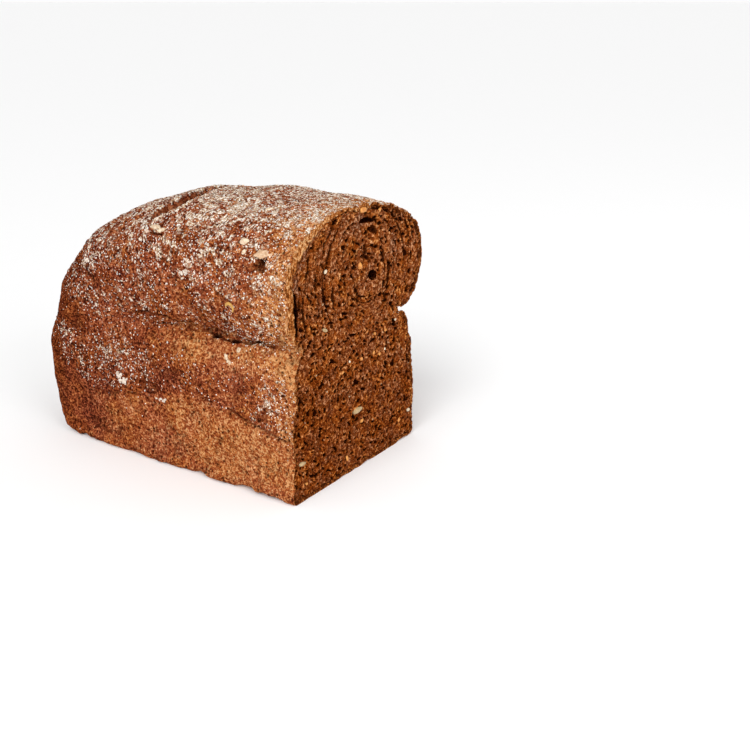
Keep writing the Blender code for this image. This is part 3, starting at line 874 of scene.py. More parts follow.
def crumb_depth(across, up):
    """Depth of the crumb's face behind the cut, and the painted shade at each place of it.

    The depth is the deepest of the bubbles, tunnel, slit and crack, plus the folds and cracks round
    the swirl, lumps and knife marks. Open pores and holes get full painted shade, and small ones less.
    """
    flat = np.stack([across, up], axis=-1)
    bend = 0.45 * MM
    bent_y = across + bend * value_noise(flat, 1.8 * MM, 101)
    bent_z = up + bend * value_noise(flat, 1.8 * MM, 102)
    wide_y = bent_y / PORE_STRETCH
    large, large_shade = bubbles(wide_y, bent_z, 7.0 * MM, 111, 0.35, 0.19, 0.9, 0.9)
    middle, middle_shade = bubbles(wide_y, bent_z, 3.6 * MM, 121, 0.8, 0.25, 0.9, 1.2)
    small, small_shade = bubbles(wide_y, bent_z, 2.3 * MM, 131, 0.9, 0.33, 0.8, 2.0)
    tiny, tiny_shade = bubbles(wide_y, bent_z, 1.3 * MM, 151, 0.8, 0.4, 0.8, 3.0)
    pores = highest(2.4 * large, 2.8 * middle, 2.4 * small, 1.6 * tiny)
    from_swirl = flat - np.array(DOME_SWIRL)
    round_swirl = np.arctan2(from_swirl[..., 1], from_swirl[..., 0]) * 16 * MM
    swirl = np.stack([np.linalg.norm(from_swirl, axis=-1) / (1.8 * MM), round_swirl / (5 * MM)], axis=-1)
    ridges = 0.5 * value_noise(swirl, 1, 145) * ramp(up, 72 * MM, 90 * MM)
    folds = np.stack([np.linalg.norm(from_swirl, axis=-1) / (1.5 * MM), round_swirl / (7 * MM)], axis=-1)
    cracks = ramp(value_noise(folds + 0.4 * value_noise(folds, 0.5, 150)[..., None], 1, 149), 0.42, 0.62)
    cracks = cracks * ramp(up, 72 * MM, 86 * MM)
    lip = (TUNNEL[0], TUNNEL[1], 1.6 * TUNNEL[2], 1.7 * TUNNEL[3])
    away = 1 - ramp(oval_depth(across, up, lip, -0.2), 0.0, 0.5)
    pores = pores * (0.25 + 0.75 * away)
    cracks = cracks * away
    lumps = ridges + 0.9 * cracks
    lumps = lumps + 0.4 * value_noise(flat, 2.6 * MM, 141) + 0.35 * value_noise(flat, 1.2 * MM, 142)
    marks = 0.06 * np.sin((up - 0.5 * across) / (1.0 * MM) + 2 * value_noise(flat, 12 * MM, 143))
    tunnel = 11 * MM * oval_depth(across, up, TUNNEL, -0.2) ** 0.4
    bow = (across - SLIT[0]) ** 2 / (45 * MM)
    slit = 4.0 * MM * oval_depth(across, up + bow, SLIT, -0.1)
    crack = 2.5 * MM * oval_depth(bent_y, bent_z, EDGE_CRACK, -0.7)
    shade_mask = away * highest(large_shade, middle_shade, 0.9 * small_shade, 0.7 * tiny_shade)
    wide_tunnel, wide_slit = [(*oval[:2], 1.1 * oval[2], 1.15 * oval[3]) for oval in (TUNNEL, SLIT)]
    tunnel_shade = ramp(oval_depth(across, up, wide_tunnel, -0.2), 0.0, 0.4)
    slit_shade = ramp(oval_depth(across, up + bow, wide_slit, -0.1), 0.0, 0.4)
    shade_mask = highest(shade_mask, tunnel_shade, slit_shade, 0.85 * cracks, ramp(crack, 0.0, 1.2 * MM))
    return highest(pores, tunnel, slit, crack) + (lumps + marks + 0.8) * MM, shade_mask


def crumb_edge_shift(ring):
    """How far the crumb's edge lies inside the crust: a gap where it came loose, else a little under it."""
    loose = ramp(thickness, 2.0 * MM, 3.2 * MM) * ramp(value_noise(ring, 12 * MM, 95), -1.2, -0.3)
    low = 1 - ramp(ring[:, 1], 98 * MM, 114 * MM)
    across = ring[:, 0] - MIDDLE_Y
    right = ramp(across, 8 * MM, 16 * MM) * (1 - ramp(across, 38 * MM, 48 * MM))
    right = right * ramp(ring[:, 1], 118 * MM, 126 * MM)
    wander = 0.5 * MM * value_noise(ring, 3 * MM, 96)
    return -0.35 * MM + ((0.5 + 2.2 * low) * MM + wander) * loose + 1.0 * MM * right


right_edge, left_edge = edge_rows(inner_ring + inwards * crumb_edge_shift(inner_ring)[:, None])
share = np.linspace(0, 1, CRUMB_COLUMNS)[None, :, None]
face = left_edge[:, None] * (1 - share) + right_edge[:, None] * share
depth, pore_shade = crumb_depth(face[..., 0] - MIDDLE_Y, face[..., 1])
gap = ramp(crumb_edge_shift(inner_ring), 0.0, 1.0 * MM)
thick = ramp(thickness, 1.6 * MM, 3.4 * MM)
right_gap, left_gap = edge_rows(np.column_stack([gap, thick]))
from_left = share[..., 0] * np.linalg.norm(right_edge - left_edge, axis=1)[:, None]
from_right = from_left.max(axis=1, keepdims=True) - from_left
# Painted shade in a band along the crumb's edge where it came loose from the crust.
at_left = left_gap[:, :1] * bell(from_left, GAP_SHADE_WIDTH)
at_right = right_gap[:, :1] * bell(from_right, GAP_SHADE_WIDTH)
pore_shade = highest(pore_shade, at_left, at_right)
front = np.concatenate([CUT_X - depth[..., None], face], axis=-1)
print("crumb face grid:", face.shape[:2], "deepest pore %.1f mm" % (depth.max() / MM))


# %% Close the crumb with a side wall and a back
def border(grid):
    """The grid's outer points in order: bottom row, right column, top row, left column."""
    return np.concatenate([grid[0], grid[1:, -1], grid[-1, -2::-1], grid[-2:0:-1, 0]])


def grid_normals_open(grid):
    """Unit normals of an open grid that faces +X."""
    normal = unit(np.cross(np.gradient(grid, axis=0), np.gradient(grid, axis=1)))
    return normal * np.sign(normal[..., :1].sum())


def slab(name, front, normals, attributes):
    """A closed slab: the front grid, a wall back from its border that narrows, and a fan behind."""
    rows, columns = front.shape[:2]
    index = np.arange(rows * columns).reshape(rows, columns)
    ring = border(index)
    wall = border(front).copy()
    wall[:, 0] = CUT_X - CRUMB_BACK
    wall[:, 1:] = narrowed(wall[:, 1:], CRUMB_BACK)
    back_ring = rows * columns + np.arange(len(ring))
    middle = wall.mean(axis=0, keepdims=True)
    sides = np.stack([ring, np.roll(ring, -1), np.roll(back_ring, -1), back_ring], axis=-1)
    quads = np.concatenate([grid_faces(rows, columns, closed=False).reshape(-1, 4), sides])
    padding = np.ones(len(ring) + 1)
    made = mesh_object(
        name,
        np.concatenate([front.reshape(-1, 3), wall, middle]),
        quads,
        fan_faces(back_ring, rows * columns + len(ring)),
        {label: np.concatenate([at.ravel(), padding]) for label, at in attributes.items()},
    )
    face_outwards(made)
    shown = np.concatenate([normals.reshape(-1, 3), np.zeros((len(ring) + 1, 3))])
    made.data.normals_split_custom_set_from_vertices(shown.tolist())
    return made


flat = face - np.array([MIDDLE_Y, 0])
wide_smear = 2.6 * MM + 1.6 * MM * ramp(face[..., 1], 90 * MM, 105 * MM)
smear = np.exp(-((from_left / wide_smear) ** 4)) * left_gap[:, 1:]
smear = smear * (1 - ramp(face[..., 1], 126 * MM, 136 * MM))
for at_across, at_height, half_wide, half_high in SMEARS:
    far = np.hypot((flat[..., 0] - at_across) / half_wide, (flat[..., 1] - at_height) / half_high)
    smear = np.maximum(smear, 0.8 * (1 - ramp(far + 0.3 * value_noise(flat, 3 * MM, 147), 0.5, 1.2)))
crumb_tone = 0.48 - 0.15 * (1 - ramp(face[..., 1], 25 * MM, 105 * MM))
crumb_tone = crumb_tone + 0.03 * value_noise(flat, 9 * MM, 148)
crumb_normal = grid_normals_open(front)
starts = np.linspace(0, len(front) - 1, CRUMB_SLABS + 1).astype(int)
crumb_slabs = []
for number, (start, end) in enumerate(zip(starts, starts[1:])):
    part = slice(start, end + 1)
    marks = {"hollow_shade": pore_shade[part], "smear": smear[part], "tone": crumb_tone[part]}
    crumb_slabs.append(slab("crumb_%d" % (number + 1), front[part], crumb_normal[part], marks))

# %% [markdown]
# ## Seeds, flakes and the flap of crust
#
# Seeds, bran flakes and torn bits of crust are all small pebbles of different outline: a
# sunflower kernel is pointed at one end, a flake is thin and curled, the flap is a bent
# plate. One formula covers them: a squashed ball, narrowed towards one end, curled along
# its length and roughened with noise. Two parameters run over it, as on a globe.

# %% One formula for small bits
def pebble(size, pointed=0.0, curl=0.0, rough=0.1, seed=1, rings=14, segments=20):
    """Points of a ball squashed to size, times (1 - pointed * x) across, bent by curl * x^2, with noise."""
    turn = np.linspace(0, np.pi, rings + 2)[1:-1, None]
    round_way = np.linspace(0, 2 * np.pi, segments, endpoint=False)[None, :]
    x = np.cos(turn) + 0 * round_way
    y = np.sin(turn) * np.cos(round_way)
    z = np.sin(turn) * np.sin(round_way)
    body = np.stack([x, y, z], axis=-1).reshape(-1, 3)
    body = np.concatenate([body, [[1, 0, 0], [-1, 0, 0]]])
    body = body * (1 + rough * value_noise(body + 5 * seed, 0.55, seed))[:, None]
    body[:, 1:] *= (1 - pointed * body[:, :1])
    body[:, 2] += curl * (body[:, 0] ** 2 - 0.3)
    return body * np.array(size) / 2


def pebble_faces(rings=14, segments=20, start=0):
    """Faces of one pebble: quads between its rings, and a fan at either end."""
    first = start + np.arange(segments)
    last = start + (rings - 1) * segments + np.arange(segments)
    tip = start + rings * segments
    fans = np.concatenate([fan_faces(first, tip)[:, ::-1], fan_faces(last, tip + 1)])
    return grid_faces(rings, segments, start).reshape(-1, 4), fans


def place_by(points, origin, normal, turn):
    """Moves points so that their Z lies along the normal and their X is turned from the level direction."""
    normal = unit(np.asarray(normal))
    level = unit(np.cross((0, 0, 1), normal))
    steep = np.cross(normal, level)
    x = level * math.cos(turn) + steep * math.sin(turn)
    return origin + points @ np.stack([x, np.cross(normal, x), normal])


def bits_object(name, shapes, rings=14, segments=20):
    """Several pebbles of one fineness as one mesh."""
    quads = []
    fans = []
    count = rings * segments + 2
    for number in range(len(shapes)):
        some, ends = pebble_faces(rings, segments, number * count)
        quads.append(some)
        fans.append(ends)
    made = mesh_object(name, np.concatenate(shapes), np.concatenate(quads), np.concatenate(fans))
    face_outwards(made)
    return made


def on_skin(at_behind, at_height):
    """The point and normal of the left side's skin nearest to this distance behind the cut and height."""
    away = np.abs(distance - at_behind) + np.abs(skin_moved[..., 2] - at_height)
    away = np.where(skin[..., 1] < MIDDLE_Y, away, 9)
    row, column = np.unravel_index(away.argmin(), away.shape)
    return skin_moved[row, column], skin_normal[row, column]


# %% Bits on the crust
FLAKES = (
    (28.6, 128.3, (5.0, 3.4, 1.6), 0.2, 0.3),
    (27.2, 124.0, (2.6, 2.0, 1.2), 0.0, 1.2),
    (38.0, 72.6, (3.2, 2.2, 1.2), 0.1, 0.5),
    (44.0, 68.0, (3.6, 2.0, 1.0), 0.1, 2.0),
    (42.0, 66.0, (2.6, 1.8, 1.0), 0.1, 2.6),
    (88.5, 127.6, (8.0, 2.6, 1.5), 0.1, 0.1),
    (83.5, 126.9, (5.0, 2.2, 1.3), 0.1, 0.3),
    (31.0, 139.4, (4.0, 3.0, 1.0), 0.1, 0.3),
)
FLAP = (15.6 * MM, 124.1 * MM)
flakes = []
for number, (at_behind, at_height, size, pointed, turn) in enumerate(FLAKES):
    point, normal = on_skin(at_behind * MM, at_height * MM)
    shape = pebble(np.array(size) * MM, pointed, 0.15, 0.25, seed=201 + number)
    shape[:, 1] += 0.4 * MM * value_noise(shape, 1.2 * MM, 231 + number)
    flakes.append(place_by(shape, point + 0.2 * MM * normal, normal, turn))
crust_bits = bits_object("crust_flakes", flakes)
FLOUR_LUMPS = (
    (21.5, 127.0, 1.4, 1.0, 7),
    (118.8, 43.0, 2.6, 1.3, 16),
    (116.0, 40.6, 1.4, 1.0, 6),
    (139.5, 104.5, 1.0, 2.2, 8),
    (62.0, 110.0, 2.2, 1.6, 7),
    (88.0, 36.0, 2.6, 1.2, 6),
)


def lump_cluster(at_behind, at_height, spread_along, spread_up, count, seed):
    """Small low pebbles of flour, scattered about a place on the skin by a bell curve, in mm."""
    random = np.random.default_rng(seed)
    shapes = []
    for number in range(count):
        along = (at_behind + spread_along * random.normal()) * MM
        up = (at_height + spread_up * random.normal()) * MM
        point, normal = on_skin(along, up)
        size = np.array((1.0, random.uniform(0.6, 0.9), 0.5)) * random.uniform(1.1, 2.4) * MM
        shape = pebble(size, 0.1, 0.1, 0.5, seed=seed + number, rings=8, segments=12)
        shapes.append(place_by(shape, point, normal, random.uniform(0, 3)))
    return shapes


lump_shapes = []
for number, lump in enumerate(FLOUR_LUMPS):
    lump_shapes += lump_cluster(*lump, 271 + 20 * number)
flour_lumps = bits_object("flour_lumps", lump_shapes, 8, 12)


def hooked(points, radius):
    """Bends a straight bit along its X into an arc of this radius, in its own plane."""
    turn = points[:, 0] / radius
    out = radius - points[:, 1]
    return np.column_stack([out * np.sin(turn), radius - out * np.cos(turn), points[:, 2]])


point, normal = on_skin(33 * MM, 98.8 * MM)
husk_shape = hooked(pebble(np.array((8.6, 1.7, 1.3)) * MM, -0.3, 0.0, 0.15, seed=212), 2.3 * MM)
husk = bits_object("yellow_husk", [place_by(husk_shape, point + 0.3 * MM * normal, normal, 2.5)])
point, normal = on_skin(*FLAP)
flap_shape = pebble(np.array((9.6, 4.8, 1.2)) * MM, 0.2, -0.8, 0.3, seed=211, rings=34, segments=48)
flap_shape[:, 2] += 0.35 * MM * value_noise(flap_shape, 1.3 * MM, 213)
flap_shape[:, 1] += 0.8 * MM * value_noise(flap_shape, 1.6 * MM, 214)
flap_way = normal + np.array((0.1, 0.1, 0.45))
flap = bits_object("crust_flap", [place_by(flap_shape, point + 0.4 * MM * normal, flap_way, 0.15)], 34, 48)

# %% Seeds in the cut face
SEEDS = (
    (1.0, 32.4, (8.6, 3.2, 2.6), 0.35, 0.0),
    (-46.3, 20.0, (5.6, 2.2, 2.0), 0.3, -0.1),
    (-26.2, 83.5, (4.4, 1.9, 1.8), 0.1, -0.4),
)
ORANGE_BITS = (
    (7.0, 136.9, (6.2, 3.0, 1.8)),
    (21.4, 134.4, (3.6, 1.8, 1.4)),
    (4.0, 109.2, (3.4, 3.0, 1.6)),
    (26.9, 69.6, (2.2, 1.8, 1.4)),
    (17.0, 70.1, (1.8, 1.5, 1.2)),
    (16.0, 59.8, (2.2, 1.7, 1.2)),
    (21.7, 57.6, (1.8, 2.2, 1.2)),
    (4.9, 59.7, (2.4, 2.0, 1.2)),
    (4.7, 25.1, (3.2, 2.0, 1.4)),
    (41.1, 12.8, (2.8, 2.2, 1.4)),
    (-8.8, 8.4, (3.4, 1.8, 1.4)),
    (-43.6, 8.0, (2.0, 1.5, 1.2)),
    (-12.0, 57.2, (2.4, 1.4, 1.2)),
    (53.0, 28.1, (2.0, 1.4, 1.2)),
)
WHITE_BITS = (
    (51.0, 15.6, (3.4, 2.0, 1.4)),
    (-24.8, 112.4, (2.4, 1.6, 1.3)),
    (26.5, 59.1, (1.4, 1.2, 1.0)),
    (-5.8, 61.3, (1.5, 1.3, 1.0)),
    (36.8, 72.8, (1.6, 1.4, 1.1)),
)


def in_face(bits, first_seed, pointed=0.1, rough=0.2):
    """Pebbles half sunk in the cut face, at these places and sizes in mm."""
    shapes = []
    for number, (across, up, size, *turn) in enumerate(bits):
        shape = pebble(np.array(size) * MM, pointed, 0.0, rough, seed=first_seed + number)
        origin = np.array([CUT_X - 0.9 * MM, across * MM + MIDDLE_Y, up * MM])
        shapes.append(place_by(shape, origin, (1, 0, 0), turn[-1] if turn else 0.8 * number))
    return shapes


def seed_list():
    """The seeds, each with its own point and turn."""
    shapes = []
    for number, (across, up, size, pointed, turn) in enumerate(SEEDS):
        shapes += in_face([(across, up, size, turn)], 221 + number, pointed, 0.06)
    return shapes


kernels = bits_object("seeds", seed_list())
orange_bits = bits_object("orange_grain", in_face(ORANGE_BITS, 231))
white_bits = bits_object("white_grain", in_face(WHITE_BITS, 251))

# %% [markdown]
# ## Flour grains
#
# Up close, flour on bread is grains, each catching the light. They are scattered over the
# skin with a chance that follows the flour mask, so the grains thin out where the dusting
# does. Each grain is an eight-sided bit, turned at random, and all of them are one mesh.

# %% Scatter small bits over a grid
GRAINS = 9000
GRAIN_SEED = 301


def scatter_on(grid, normals, weight, count, seed):
    """Points picked on a grid's cells, each cell's chance its area times its weight, with their normals."""
    random = np.random.default_rng(seed)
    a = grid[:-1, :-1]
    right = grid[:-1, 1:] - a
    down = grid[1:, :-1] - a
    area = np.linalg.norm(np.cross(right, down), axis=-1) * weight[:-1, :-1]
    picked = random.choice(area.size, count, p=area.ravel() / area.sum())
    share = random.random((2, count, 1))
    start = a.reshape(-1, 3)[picked]
    point = start + share[0] * right.reshape(-1, 3)[picked] + share[1] * down.reshape(-1, 3)[picked]
    return point, normals[:-1, :-1].reshape(-1, 3)[picked], random


def grains_object(name, point, normal, radius, flatness, random):
    """One closed eight-sided grain at each point, stretched, turned and flattened along the normal."""
    count = len(point)
    corner = np.array([[1, 0, 0], [0, 1, 0], [-1, 0, 0], [0, -1, 0], [0, 0, 1], [0, 0, -1]], dtype=float)
    stretch = random.uniform(0.8, 1.2, (count, 1, 3))
    jitter = random.normal(0, 0.1, (count, 6, 3))
    turn = random.uniform(0, 2 * np.pi, count)
    side = unit(np.cross(normal, random.normal(size=(count, 3))))
    other = np.cross(normal, side)
    x = side * np.cos(turn)[:, None] + other * np.sin(turn)[:, None]
    axes = np.stack([x, np.cross(normal, x), normal * flatness], axis=1)
    shape = (corner * stretch + jitter) * radius[:, None, None]
    points = point[:, None] + shape @ axes
    equator = np.arange(4)
    top = np.column_stack([equator, (equator + 1) % 4, np.full(4, 4)])
    faces = np.concatenate([top, np.column_stack([top[:, 1], top[:, 0], np.full(4, 5)])])
    faces = (np.arange(count)[:, None, None] * 6 + faces).reshape(-1, 3)
    made = mesh_object(name, points.reshape(-1, 3), (), faces, smooth=False)
    face_outwards(made)
    return made


grain_weight = flour * (1.2 - 0.8 * ramp(flour, 0.5, 0.75)) * ramp(skin_moved[..., 2], 2 * MM, 12 * MM)
grain_weight = grain_weight * (1 - 0.85 * split_bed) * (1 - ramp(hollow_shade, 0.1, 0.4))
point, normal, random = scatter_on(skin_moved, skin_normal, grain_weight, GRAINS, GRAIN_SEED)
radius = (0.2 + 0.32 * random.random(len(point)) ** 2) * MM
point[:, 1:] = np.minimum(point[:, 1:], np.array(cad_box[1][1:]) - 0.6 * MM)
flour_grains = grains_object("flour_grains", point, normal, radius, 0.7, random)

# %% [markdown]
# ## Finishes
#
# The materials read two things: the position on the object, for noise, and the masks that
# the shapes left as attributes. Three effects recur, so each is a node group that gives
# out only a mask or a value: fine specks, a mottled tone, and a threshold with soft edges.

# %% Helpers to build node trees
def add(tree, kind, inputs=None, **settings):
    """Adds a node, sets its options, then its inputs: a value is set and a socket is linked."""
    made = tree.nodes.new(kind)
    for name, value in settings.items():
        setattr(made, name, value)
    for name, value in (inputs or {}).items():
        if isinstance(value, bpy.types.NodeSocket):
            tree.links.new(value, made.inputs[name])
        else:
            made.inputs[name].default_value = value
    return made


def calculate(tree, operation, *values, clamp=False):
    """A Math node on these values or sockets."""
    inputs = dict(enumerate(values))
    return add(tree, "ShaderNodeMath", inputs, operation=operation, use_clamp=clamp).outputs[0]


def blend(tree, factor, first, second):
    """A colour mixed from two by the factor."""
    return add(tree, "ShaderNodeMix", {0: factor, 6: first, 7: second}, data_type="RGBA").outputs[2]


def read_mask(tree, name):
    """The mask that the shape left under this name."""
    return add(tree, "ShaderNodeAttribute", attribute_name=name).outputs["Fac"]


def new_group(name, inputs, outputs):
    """An empty node group with these sockets: name, kind and, for an input, the value it starts with."""
    group = bpy.data.node_groups.new(name, "ShaderNodeTree")
    for label, kind, value in inputs:
        socket = group.interface.new_socket(name=label, in_out="INPUT", socket_type=kind)
        if value is not None:
            socket.default_value = value
    for label, kind in outputs:
        group.interface.new_socket(name=label, in_out="OUTPUT", socket_type=kind)
    return group, group.nodes.new("NodeGroupInput"), group.nodes.new("NodeGroupOutput")


def use_group(tree, group, inputs):
    """The outputs of a node that uses the group in this tree."""
    return add(tree, "ShaderNodeGroup", inputs, node_tree=group).outputs


# %% The three shared effects
def make_specks():
    """Specks: a round dot in each cell of a Voronoi pattern whose random tone is under Amount."""
    group, given, result = new_group(
        "specks",
        [
            ("Vector", "NodeSocketVector", None),
            ("Per metre", "NodeSocketFloat", 900.0),
            ("Amount", "NodeSocketFloat", 0.3),
        ],
        [("Mask", "NodeSocketFloat")],
    )
    lattice = {"Vector": given.outputs["Vector"], "Scale": given.outputs["Per metre"]}
    cells = add(group, "ShaderNodeTexVoronoi", lattice)
    tone = add(group, "ShaderNodeSeparateColor", {0: cells.outputs["Color"]})
    radius = calculate(group, "MULTIPLY_ADD", tone.outputs[1], 0.25, 0.2)
    far = calculate(group, "DIVIDE", cells.outputs["Distance"], radius)
    dot = calculate(group, "SUBTRACT", 1.0, far, clamp=True)
    dot = calculate(group, "MULTIPLY", dot, 3.0, clamp=True)
    kept = calculate(group, "LESS_THAN", tone.outputs[0], given.outputs["Amount"])
    group.links.new(calculate(group, "MULTIPLY", dot, kept), result.inputs["Mask"])
    return group


def make_mottle():
    """Mottle: noise of this fineness, pulled apart about its middle by Contrast, from 0 to 1."""
    group, given, result = new_group(
        "mottle",
        [
            ("Vector", "NodeSocketVector", None),
            ("Per metre", "NodeSocketFloat", 300.0),
            ("Contrast", "NodeSocketFloat", 2.0),
            ("Detail", "NodeSocketFloat", 3.0),
        ],
        [("Value", "NodeSocketFloat")],
    )
    lattice = {"Vector": given.outputs["Vector"], "Scale": given.outputs["Per metre"]}
    noise = add(group, "ShaderNodeTexNoise", lattice)
    noise.inputs["Roughness"].default_value = 0.6
    group.links.new(given.outputs["Detail"], noise.inputs["Detail"])
    centred = calculate(group, "SUBTRACT", noise.outputs["Fac"], 0.5)
    value = calculate(group, "MULTIPLY_ADD", centred, given.outputs["Contrast"], 0.5, clamp=True)
    group.links.new(value, result.inputs["Value"])
    return group


def make_threshold():
    """Threshold: 0 below Level, 1 above Level plus Softness, straight between."""
    group, given, result = new_group(
        "soft threshold",
        [
            ("Value", "NodeSocketFloat", 0.5),
            ("Level", "NodeSocketFloat", 0.5),
            ("Softness", "NodeSocketFloat", 0.1),
        ],
        [("Mask", "NodeSocketFloat")],
    )
    over = calculate(group, "SUBTRACT", given.outputs["Value"], given.outputs["Level"])
    mask = calculate(group, "DIVIDE", over, given.outputs["Softness"], clamp=True)
    group.links.new(mask, result.inputs["Mask"])
    return group


specks = make_specks()
mottle = make_mottle()
threshold = make_threshold()
print("node groups:", specks.name, mottle.name, threshold.name)


def mottled(tree, place, per_metre, contrast, detail=3.0):
    """The mottle group's value at this fineness."""
    inputs = {"Vector": place, "Per metre": per_metre, "Contrast": contrast, "Detail": detail}
    return use_group(tree, mottle, inputs)["Value"]


def specked(tree, place, per_metre, amount):
    """The specks group's mask at this fineness, for this share of the cells."""
    return use_group(tree, specks, {"Vector": place, "Per metre": per_metre, "Amount": amount})["Mask"]


def scaled(tree, value, factor):
    """A value times a factor, either of them a number or a socket."""
    return calculate(tree, "MULTIPLY", value, factor)


# %% [markdown]
# ## The crust's finish
#
# Crust is a baked film: tan where it was sheltered, dark brown where it took the most
# heat. The tone follows the bake mask, which also holds painted light under the rim, with
# mottling on top, and the hue drifts to a rosier brown in places. Flour is a second colour
# laid over it and it is rougher: a crumbly cake where it lies thick, broken by gaps and thin
# cracks, and fine specks elsewhere. The split's bed is bare and redder. The rim at the cut
# is the crust's inside, which is orange-brown and streaked. Pinholes, pits, torn holes,
# the crease, the groove, wrinkles and the recess behind the rim are painted dark as painted shade.

# %% Crust material
# This dark colour is painted shade. The crust is blended to it in pits, holes, creases, grooves, wrinkles,
# the rim's recess and pinholes.
SHADE_DARK = (0.03, 0.006, 0.002, 1)
CRUST_TONES = (
    (0.0, (0.03, 0.005, 0.0015, 1)),
    (0.25, (0.125, 0.022, 0.006, 1)),
    (0.5, (0.285, 0.066, 0.019, 1)),
    (0.72, (0.42, 0.127, 0.030, 1)),
    (1.0, (0.64, 0.31, 0.125, 1)),
)
ROSY_TONES = (
    (0.0, (0.030, 0.006, 0.004, 1)),
    (0.25, (0.130, 0.022, 0.009, 1)),
    (0.5, (0.285, 0.068, 0.027, 1)),
    (0.72, (0.420, 0.127, 0.052, 1)),
    (1.0, (0.650, 0.320, 0.170, 1)),
)
# The flour's own tones. They follow the same grainy noise as its bumps, so their dark end, where the bumps
# are low, is painted shade between the grains.
FLOUR_TONES = (
    (0.0, (0.32, 0.135, 0.050, 1)),
    (0.5, (0.70, 0.53, 0.37, 1)),
    (1.0, (0.97, 0.91, 0.81, 1)),
)
FLOUR_WHITE = (0.86, 0.83, 0.78, 1)
SPLIT_TONES = (
    (0.0, (0.08, 0.016, 0.005, 1)),
    (0.5, (0.22, 0.056, 0.020, 1)),
    (1.0, (0.40, 0.15, 0.065, 1)),
)
RIM_TONES = (
    (0.0, (0.08, 0.017, 0.004, 1)),
    (0.35, (0.31, 0.085, 0.015, 1)),
    (0.7, (0.52, 0.19, 0.050, 1)),
    (1.0, (0.76, 0.42, 0.19, 1)),
)


def new_material(name):
    """A material with its Principled shader and the position on the object."""
    material = bpy.data.materials.new(name)
    material.use_nodes = True
    tree = material.node_tree
    place = add(tree, "ShaderNodeTexCoord").outputs["Object"]
    return material, tree, tree.nodes["Principled BSDF"], place


def toned(tree, value, tones):
    """A colour read from a scale of tones by a value from 0 to 1."""
    scale = add(tree, "ShaderNodeValToRGB", {"Fac": value})
    stops = scale.color_ramp.elements
    while len(stops) < len(tones):
        stops.new(0.5)
    for stop, (position, colour) in zip(stops, tones):
        stop.position = position
        stop.color = colour
    return scale.outputs["Color"]


def sway(tree, value, amount, base):
    """The base moved up or down by a value from 0 to 1, half the amount each way."""
    return calculate(tree, "MULTIPLY_ADD", calculate(tree, "SUBTRACT", value, 0.5), amount, base)


def add_bump(tree, shader, height, strength, depth):
    """Fine bumps that tilt the shading where the height changes, of this strength and depth."""
    bump = add(tree, "ShaderNodeBump", {"Strength": strength, "Distance": depth, "Height": height})
    tree.links.new(bump.outputs[0], shader.inputs["Normal"])


def bare_crust(tree, place, tone):
    """Brown crust at this tone, orange-brown in places and rosier where it baked more, with pinholes painted
    dark as painted shade.
    """
    more_baked = calculate(tree, "MULTIPLY_ADD", read_mask(tree, "bake_and_light"), 1.6, 0.1, clamp=True)
    rosy = scaled(tree, mottled(tree, place, 65.0, 3.5, 2.0), more_baked)
    brown = blend(tree, rosy, toned(tree, tone, CRUST_TONES), toned(tree, tone, ROSY_TONES))
    pinhole_shade = specked(tree, place, 420.0, 0.28)
    return blend(tree, scaled(tree, pinhole_shade, 0.85), brown, SHADE_DARK)


def rim_colour(tree, place, coarse, grainy):
    """The band at the cut: streaked along the crust's layers and toned by its own mask."""
    stretched = add(tree, "ShaderNodeMapping", {"Vector": place, "Scale": (1.0, 1.0, 0.4)}).outputs[0]
    streaks = mottled(tree, stretched, 800.0, 3.6, 1.5)
    tone = calculate(tree, "SUBTRACT", 0.9, read_mask(tree, "rim_tone"))
    tone = sway(tree, grainy, 0.55, sway(tree, streaks, 0.75, sway(tree, coarse, 0.2, tone)))
    return toned(tree, tone, RIM_TONES)


def flour_cake(tree, place, flour, bare):
    """Where flour lies as a crumbly cake: over a mottled level, less gaps, hollows and thin cracks."""
    crumbly = blend(tree, 0.35, mottled(tree, place, 200.0, 5.0, 2.5), mottled(tree, place, 720.0, 5.5, 1.0))
    raised = calculate(tree, "MULTIPLY_ADD", read_mask(tree, "clump"), 0.16, -0.08)
    cake = calculate(tree, "MULTIPLY_ADD", flour, 1.2, raised)
    cake = calculate(tree, "SUBTRACT", cake, crumbly)
    cake = use_group(tree, threshold, {"Value": cake, "Level": 0.0, "Softness": 0.2})["Mask"]
    gaps = specked(tree, place, 520.0, 0.3)
    cake = scaled(tree, cake, calculate(tree, "MULTIPLY_ADD", gaps, -0.9, bare, clamp=True))
    folded = calculate(tree, "SUBTRACT", mottled(tree, place, 160.0, 2.2, 1.0), 0.5)
    squared = scaled(tree, folded, folded)
    cracks = calculate(tree, "MULTIPLY_ADD", squared, -50.0, 1.0, clamp=True)
    return scaled(tree, cake, calculate(tree, "MULTIPLY_ADD", cracks, -0.9, 1.0))


